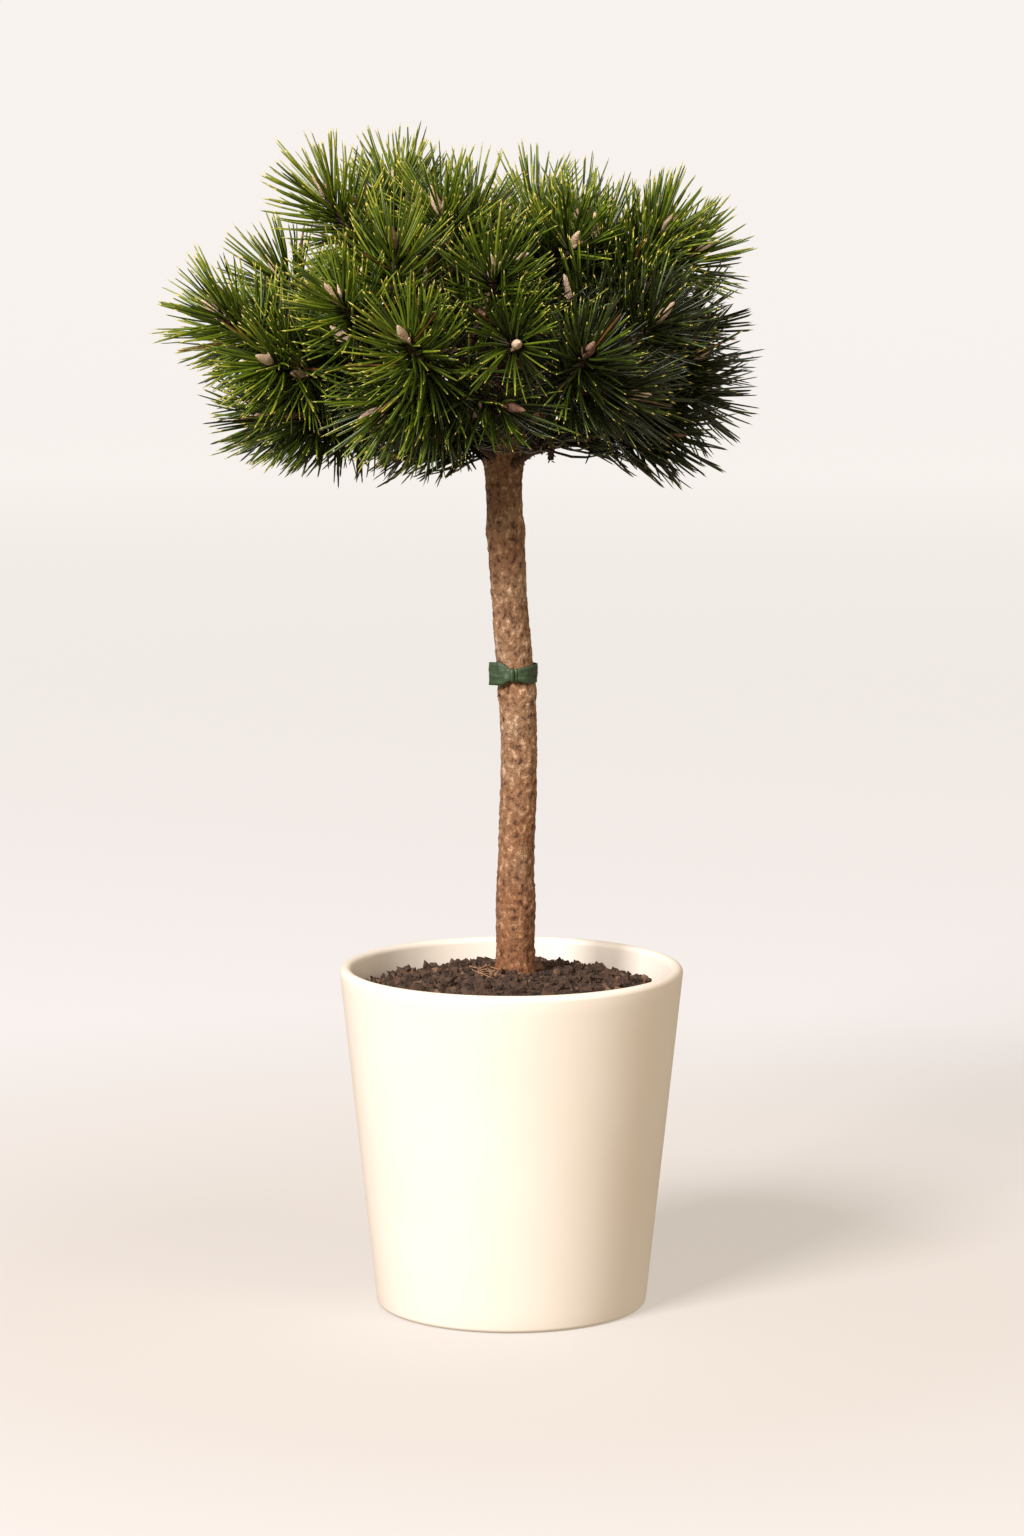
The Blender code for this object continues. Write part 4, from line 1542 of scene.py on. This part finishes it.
    def boughs(self) -> None:
        """Makes the boughs' bark from inside the stem's head to where the masses begin.

        Each is a tube whose radius narrows and carries layered noise drawn out along it.
        """
        parts = MeshParts("boughs")
        sides = 14
        names = []
        for number, mass in enumerate(MASSES):
            if not mass.on_bough:
                continue
            names.append("bough_" + mass.name)
            count = 34
            line = self.rule.leader(number, np.linspace(0.04, self.rule.bough_share + 0.01, count))
            radius = np.linspace(self.bough_base, self.bough_tip, count)[:, None]
            angle = np.linspace(0, 2 * math.pi, sides, endpoint=False)
            way = travelled(line)
            across, deep, up = np.cos(angle)[None] * 2, np.sin(angle)[None] * 2, way[:, None] * 260
            around = np.stack(np.broadcast_arrays(across, deep, up), -1)
            relief = layered_noise(around + number * 5.3, 3)
            verts, faces = tube(line, radius * (1 + 0.13 * relief), sides)
            parts.add(verts, faces)
        piece = parts.build([BOUGH_BARK.material()])
        LOG.info("boughs: %d triangles", parts.triangles())
        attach(piece, BODY)
        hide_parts(*names)

    def build(self) -> None:
        """Makes the whole crown."""
        shoots = self.shoots()
        LOG.info("crown: %d shoots", len(shoots))
        self.boughs()
        self.shoot_wood(shoots)
        self.buds(shoots)
        self.needles(shoots)


# Stem, pot, compost and tie


@dataclass
class Stem:
    """The bare stem with the relief of its bark."""

    rings: int = 430
    sides: int = 96
    plate_depth: float = 0.0007
    fissure_depth: float = 0.0006

    def build(self) -> None:
        """Makes the stem: the rule's radius, plus plates, upright fissures, rings and small scars.

        The relief is layered noise over (x, y, z stretched), with narrow cuts where a second,
        more stretched noise passes near zero.
        """
        line = STEM.points(self.rings)
        height = line[:, 2]
        angle = np.linspace(0, 2 * math.pi, self.sides, endpoint=False)
        radius = np.repeat(STEM.radius_at(height)[:, None], self.sides, axis=1)
        x, y = np.cos(angle)[None] * radius, np.sin(angle)[None] * radius
        z = np.repeat(height[:, None], self.sides, axis=1)
        plates = layered_noise(np.stack([x * 300, y * 300, z * 240], -1), 3, 3.0)
        cut = np.abs(layered_noise(np.stack([x * 260, y * 260, z * 150], -1), 3, 9.0))
        rings = lattice_noise(np.stack([x * 40, y * 40, z * 330], -1), 5.0)
        lumps = layered_noise(np.stack([x * 60, y * 60, z * 28], -1), 2, 1.0)
        relief = self.plate_depth * plates - self.fissure_depth * np.exp(-((cut / 0.12) ** 2))
        relief += 0.0003 * np.clip(rings, 0, 1) + 0.0007 * lumps
        verts, faces = tube(line, radius + relief, self.sides)
        parts = MeshParts("stem")
        parts.add(verts, faces)
        piece = parts.build([STEM_BARK.material()])
        LOG.info("stem: %d triangles", parts.triangles())
        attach(piece, BODY)
        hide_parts("trunk")


@dataclass
class Pot:
    """The tapered round pot with a softly rounded lip."""

    height: float = 0.240
    rim_radius: float = 0.120
    foot_radius: float = 0.095
    wall: float = 0.0085
    floor: float = 0.012
    foot_round: float = 0.0035
    sides: int = 192

    def inner_radius(self, height: float) -> float:
        """Gives the inside's radius at a height: the outer taper less the wall."""
        return self.foot_radius + (self.rim_radius - self.foot_radius) * height / self.height - self.wall

    def arc(self, centre: tuple[float, float], radius: float, start: float, end: float, steps: int) -> Array:
        """Gives points (radius, height) on an arc between two angles in degrees."""
        angle = np.radians(np.linspace(start, end, steps + 1))
        return np.stack([centre[0] + radius * np.cos(angle), centre[1] + radius * np.sin(angle)], axis=1)

    def build(self) -> None:
        """Turns the wall's outline: flat underside, rounded foot, straight side, lip and inside."""
        lip = self.wall / 2
        round_centre = (self.foot_radius - self.foot_round, self.foot_round)
        outer_foot = self.arc(round_centre, self.foot_round, -90, -6, 6)
        lip_arc = self.arc((self.rim_radius - lip, self.height - lip), lip, 0, 180, 14)
        side_share = np.linspace(0, 1, 26)[1:-1, None]
        side = outer_foot[-1] * (1 - side_share) + lip_arc[0] * side_share
        inner_foot = np.array([[self.inner_radius(self.floor), self.floor]])
        inside_share = np.linspace(0, 1, 12)[1:-1, None]
        inside = lip_arc[-1] * (1 - inside_share) + inner_foot * inside_share
        underside, inner_floor = [[0, 0], [self.foot_radius * 0.5, 0]], [[0, self.floor]]
        profile = np.vstack([underside, outer_foot, side, lip_arc, inside, inner_foot, inner_floor])
        verts, faces = lathe(profile, self.sides)
        parts = MeshParts("glazed_pot")
        parts.add(verts, faces)
        piece = parts.build([GlazeFinish().material()])
        LOG.info("pot: %d triangles", parts.triangles())
        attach(piece, BODY)
        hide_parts("pot")


@dataclass
class Soil:
    """The mounded compost with its crumbs and a few root fibres."""

    pot: Pot
    edge_drop: float = 0.021
    centre_drop: float = 0.006
    seat_radius: float = 0.020
    lump: float = 0.0038
    wall_gap: float = 0.0004
    depth: float = 0.012
    crumbs: int = 3600
    fibres: int = 130

    def surface(self, x: Array, y: Array) -> Array:
        """Gives the mound's height: edge + (centre - edge)(1 - s^1.6), with lumps of noise.

        Args:
            x: Places across.
            y: Places deep.

        Returns:
            Heights.
        """
        edge = self.pot.height - self.edge_drop
        centre = self.pot.height - self.centre_drop
        outer = self.pot.inner_radius(edge)
        share = np.clip((np.hypot(x, y) - self.seat_radius) / (outer - self.seat_radius), 0, 1)
        lumps = layered_noise(np.stack([x * 110, y * 110, np.zeros_like(x)], -1), 4, 2.0)
        calm = np.clip((outer - np.hypot(x, y)) / 0.006, 0.3, 1)
        return edge + (centre - edge) * (1 - share**1.6) + self.lump * lumps * calm

    def mound(self, parts: MeshParts) -> None:
        """Adds the mound as a closed disc: a polar grid above, and a flat foot below.

        Args:
            parts: Where it goes.
        """
        rings, sides = 90, 240
        outer = self.pot.inner_radius(self.pot.height - self.edge_drop) - self.wall_gap
        radius = np.linspace(outer, outer / rings, rings)[:, None]
        angle = np.linspace(0, 2 * math.pi, sides, endpoint=False)[None]
        x, y = radius * np.cos(angle), radius * np.sin(angle)
        top = np.stack([x, y, self.surface(x, y)], -1)
        low = self.pot.height - self.edge_drop - self.depth
        foot_radius = self.pot.inner_radius(low) - self.wall_gap
        foot_x, foot_y = foot_radius * np.cos(angle), foot_radius * np.sin(angle)
        foot = np.stack(np.broadcast_arrays(foot_x, foot_y, low), -1)
        peak = float(self.surface(np.zeros(1), np.zeros(1))[0])
        verts = np.vstack([foot.reshape(-1, 3), top.reshape(-1, 3), [[0, 0, low]], [[0, 0, peak]]])
        count = (rings + 1) * sides
        faces = [
            ring_faces(rings + 1, sides),
            cap_faces(0, sides, count, False),
            cap_faces(rings * sides, sides, count + 1, True),
        ]
        parts.add(verts, faces)

    def crumb_layer(self, parts: MeshParts, rng: np.random.Generator) -> None:
        """Scatters crumbs: eight-sided lumps, each squashed, turned and pitted in its own way.

        A lump's waist is (cos a, sin a, 0.2 sin 2a) at eight angles, between two poles.

        Args:
            parts: Where they go.
            rng: The random numbers.
        """
        ring = np.arange(8)
        a = ring * math.pi / 4
        waist = np.stack([np.cos(a), np.sin(a), 0.2 * np.sin(2 * a)], axis=1)
        unit_lump = np.vstack([waist, [[0, 0, 1], [0, 0, -1]]])
        up = np.stack([ring, (ring + 1) % 8, np.full(8, 8)], 1)
        down = np.stack([(ring + 1) % 8, ring, np.full(8, 9)], 1)
        outer = self.pot.inner_radius(self.pot.height - self.edge_drop) - 0.004
        count = self.crumbs
        radius = outer * np.sqrt(rng.uniform(0.012, 1, count))
        angle = rng.uniform(0, 2 * math.pi, count)
        x, y = radius * np.cos(angle), radius * np.sin(angle)
        size = 0.0010 + 0.0042 * rng.uniform(0, 1, count) ** 3.5
        centre = np.stack([x, y, self.surface(x, y) + size * 0.25], -1)
        turns = rotations(unit(rng.normal(size=(count, 4))))
        pitted = unit_lump[None] * rng.uniform(0.55, 1.25, (count, 10, 1))
        squashed = pitted * rng.uniform(0.5, 1.3, (count, 1, 3))
        verts = np.einsum("nij,nkj->nki", turns, squashed) * size[:, None, None] + centre[:, None]
        offset = (np.arange(count) * 10)[:, None, None]
        faces = (np.vstack([up, down])[None] + offset).reshape(-1, 3)
        shade = np.repeat(np.where(rng.uniform(size=count) < 0.10, 1, 0), 16)
        parts.add(verts, [faces], shade)

    def root_fibres(self, parts: MeshParts, rng: np.random.Generator) -> None:
        """Adds the small tangle of pale fibres at the stem's left foot.

        Args:
            parts: Where they go.
            rng: The random numbers.
        """
        foot = STEM.at(STEM.line[0][0])
        for _ in range(self.fibres):
            turn = math.radians(rng.uniform(-215, -120))
            start = foot + np.array((math.cos(turn), math.sin(turn), 0)) * rng.uniform(0.012, 0.026)
            start[2] = float(self.surface(start[:1], start[1:2])[0]) + rng.uniform(-0.001, 0.004)
            way = unit(np.array((rng.normal(-0.5, 0.6), rng.normal(-0.2, 0.6), rng.normal(-0.15, 0.3))))
            swing = rng.normal(0, 0.5, 3) - np.array((0, 0, 0.7))
            length = rng.uniform(0.006, 0.016)
            t = np.linspace(0, 1, 7)[:, None]
            line = start + way * length * t + swing * length * t**2 * 0.5
            verts, faces = tube(line, np.full(7, rng.uniform(0.00025, 0.0006)), 4)
            parts.add(verts, faces, 2)

    def build(self) -> None:
        """Makes the compost as one piece."""
        rng = np.random.default_rng(5)
        parts = MeshParts("compost")
        self.mound(parts)
        self.crumb_layer(parts, rng)
        self.root_fibres(parts, rng)
        piece = parts.build(
            [
                CrumblyFinish("compost_dark", (0.105, 0.056, 0.032), (0.018, 0.010, 0.006)).material(),
                CrumblyFinish("compost_chip", (0.240, 0.135, 0.080), (0.100, 0.055, 0.032)).material(),
                CrumblyFinish("root_fibre", (0.42, 0.24, 0.13), (0.22, 0.115, 0.06)).material(),
            ],
            smooth=False,
        )
        LOG.info("compost: %d triangles", parts.triangles())
        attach(piece, BODY)
        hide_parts("soil")


@dataclass
class Tie:
    """The green tape round the stem: a loop drawn in at the front, with its free end flaring left."""

    height: float = 0.4460
    width: float = 0.0125
    inner_radius: float = 0.0143
    thickness: float = 0.0009
    pinch_angle: float = -98.0
    pinch_width: float = 0.0055
    tab_reach: float = 64.0
    tab_width: float = 0.0160
    tab_flare: float = 0.0036
    tab_start: float = -0.18
    crease: float = 0.0006
    knot_radius: float = 0.0013

    def band(self, angle: Array, radius: Array, half: Array, tilt: Array) -> tuple[Array, Faces]:
        """Makes a closed strip that stands on edge round the stem.

        Its section has seven points across, inside and out. Each point is the stem's middle +
        (r cos a, r sin a, h half + tilt), with h from -1 to 1 and creases of noise in r.

        Args:
            angle: Angles round the stem in degrees.
            radius: The inner radius at each.
            half: Half the width at each.
            tilt: How much the strip's middle is raised at each.

        Returns:
            The vertices and face blocks.
        """
        middle = STEM.at(self.height)
        across = np.linspace(-1, 1, 7)
        a = np.radians(angle)[:, None]
        where = np.stack(np.broadcast_arrays(a * 7, across[None] * 2.5, 0.0), -1)
        crease = lattice_noise(where, 4.0) * self.crease
        inside = radius[:, None] + crease
        outside = inside + self.thickness
        h = across[None] * half[:, None] + tilt[:, None]
        section_r = np.concatenate([outside, inside[:, ::-1]], axis=1)
        section_h = np.concatenate([h, h[:, ::-1]], axis=1)
        wall = np.stack([np.cos(a) * section_r, np.sin(a) * section_r, section_h], -1) + middle
        sides = wall.shape[1]
        poles = np.stack([wall[0].mean(axis=0), wall[-1].mean(axis=0)])
        verts = np.vstack([wall.reshape(-1, 3), poles])
        count = len(angle) * sides
        faces = [
            ring_faces(len(angle), sides),
            cap_faces(0, sides, count, False),
            cap_faces((len(angle) - 1) * sides, sides, count + 1, True),
        ]
        return verts, [block[:, ::-1] for block in faces]

    def build(self) -> None:
        """Makes the loop, the free end over it and the knot between them."""
        parts = MeshParts("tape")
        start = self.pinch_angle
        turn = np.linspace(start, start + 360, 97)
        away = np.minimum(np.abs(turn - start), 360 - np.abs(turn - start))
        opened = np.minimum(1, away / 42) ** 0.7
        half = (self.pinch_width + (self.width - self.pinch_width) * opened) / 2
        verts, faces = self.band(turn, np.full(97, self.inner_radius), half, np.zeros(97))
        parts.add(verts, faces)
        share = np.linspace(self.tab_start, 1, 34)
        opened = np.minimum(1, 2.2 * np.abs(share)) ** 0.8
        half = (self.pinch_width + (self.tab_width - self.pinch_width) * opened) / 2
        radius = self.inner_radius + 0.0008 + self.tab_flare * np.clip(share, 0, 1) ** 1.5
        verts, faces = self.band(start - share * self.tab_reach, radius, half, 0.0006 * np.sin(share * 3))
        parts.add(verts, [block[:, ::-1] for block in faces])
        heading = outward(start, 0)
        knot = STEM.at(self.height) + heading * (self.inner_radius + 0.0010)
        around = np.linspace(0, math.pi, 10)
        up = np.array((0.0, 0.0, 1.0))
        line = knot + up * (np.cos(around) * 0.0042)[:, None] + heading * (np.sin(around) * 0.0022)[:, None]
        verts, faces = tube(line, np.full(10, self.knot_radius), 10)
        parts.add(verts, faces)
        piece = parts.build([TapeFinish().material()])
        LOG.info("tape: %d triangles", parts.triangles())
        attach(piece, BODY)
        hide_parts("tie")


# Studio


@dataclass(frozen=True)
class Softbox:
    """A square area light: where it stands, what it faces, its side, its power in watts and its colour."""

    name: str
    place: Point
    aim: Point
    size: float
    power: float
    colour: Colour


SOFTBOXES = (
    Softbox("key", (-3.5, -4.6, 4.3), (0, 0, 0.45), 2.4, 740, (1.0, 0.975, 0.985)),
    Softbox("fill", (3.6, -3.4, 3.4), (0, 0, 0.3), 2.6, 75, (1.0, 0.90, 0.78)),
)


@dataclass
class Studio:
    """The floor and backdrop, the lights and the camera."""

    camera_place: Point = (0.0004, -3.264, 0.838)
    pitch: float = 8.0
    lens: float = 111.1
    sensor: float = 36.0
    world_colour: Colour = (1.0, 0.84, 0.64)
    world_strength: float = 0.43
    sweep_start: float = 9.0
    sweep_radius: float = 2.0
    top: float = 9.0

    def stage(self) -> None:
        """Makes the round floor that sweeps up far out: a flat disc, a quarter circle and a wall.

        The paper is hidden from bounced, glossy and shadow rays, so that its pallor doesn't fill the
        crown's shaded side.
        """
        sides = 96
        turn = np.radians(np.linspace(0, 90, 13))
        flat = np.linspace(0.0, self.sweep_start, 30)[1:]
        radius = np.concatenate([flat, self.sweep_start + self.sweep_radius * np.sin(turn[1:])])
        height = np.concatenate([np.zeros(len(flat)), self.sweep_radius * (1 - np.cos(turn[1:]))])
        radius, height = np.append(radius, radius[-1]), np.append(height, self.top)
        angle = np.linspace(0, 2 * math.pi, sides, endpoint=False)
        x, y = radius[:, None] * np.cos(angle), radius[:, None] * np.sin(angle)
        wall = np.stack(np.broadcast_arrays(x, y, height[:, None]), -1)
        verts = np.vstack([wall.reshape(-1, 3), [[0.0, 0.0, 0.0]]])
        middle = cap_faces(0, sides, len(verts) - 1, False)
        faces = [ring_faces(len(radius), sides)[:, ::-1], middle[:, ::-1]]
        parts = MeshParts("paper")
        parts.add(verts, faces)
        paper = parts.build([StageFinish().material()])
        paper.visible_diffuse = False
        paper.visible_glossy = False
        paper.visible_shadow = False

    def light(self, box: Softbox) -> None:
        """Adds a softbox, turned so that it faces what it lights.

        Args:
            box: The softbox.
        """
        lamp = bpy.data.lights.new(box.name, "AREA")
        lamp.size = box.size
        lamp.energy = box.power
        lamp.color = box.colour
        obj = bpy.data.objects.new(box.name, lamp)
        bpy.context.scene.collection.objects.link(obj)
        away = np.array(box.place) - np.array(box.aim)
        obj.location = box.place
        tilt = math.atan2(math.hypot(away[0], away[1]), away[2])
        obj.rotation_euler = (tilt, 0, math.atan2(away[0], -away[1]))

    def camera(self) -> None:
        """Sets the photograph's viewpoint: as high as the crown's top, looking a little down."""
        data = bpy.data.cameras.new("camera")
        data.lens = self.lens
        data.sensor_width = self.sensor
        obj = bpy.data.objects.new("camera", data)
        obj.location = self.camera_place
        obj.rotation_euler = (math.radians(90 - self.pitch), 0, 0)
        bpy.context.scene.collection.objects.link(obj)
        bpy.context.scene.camera = obj

    def build(self) -> None:
        """Sets the whole studio."""
        world = bpy.data.worlds.new("studio")
        world.use_nodes = True
        back = world.node_tree.nodes["Background"]
        back.inputs["Color"].default_value = (*self.world_colour, 1)
        back.inputs["Strength"].default_value = self.world_strength
        bpy.context.scene.world = world
        bpy.context.scene.view_settings.view_transform = "Standard"
        self.stage()
        for box in SOFTBOXES:
            self.light(box)
        self.camera()
        LOG.info("studio: camera and lights set")


def main() -> None:
    """Builds the studio and every piece in order."""
    logging.basicConfig(level=logging.INFO, format="%(name)s %(message)s")
    Studio().build()
    pot = Pot()
    pot.build()
    Soil(pot).build()
    Stem().build()
    Tie().build()
    Crown(GrowthRule(), NeedleSpray()).build()
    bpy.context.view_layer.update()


if __name__ == "__main__":
    main()
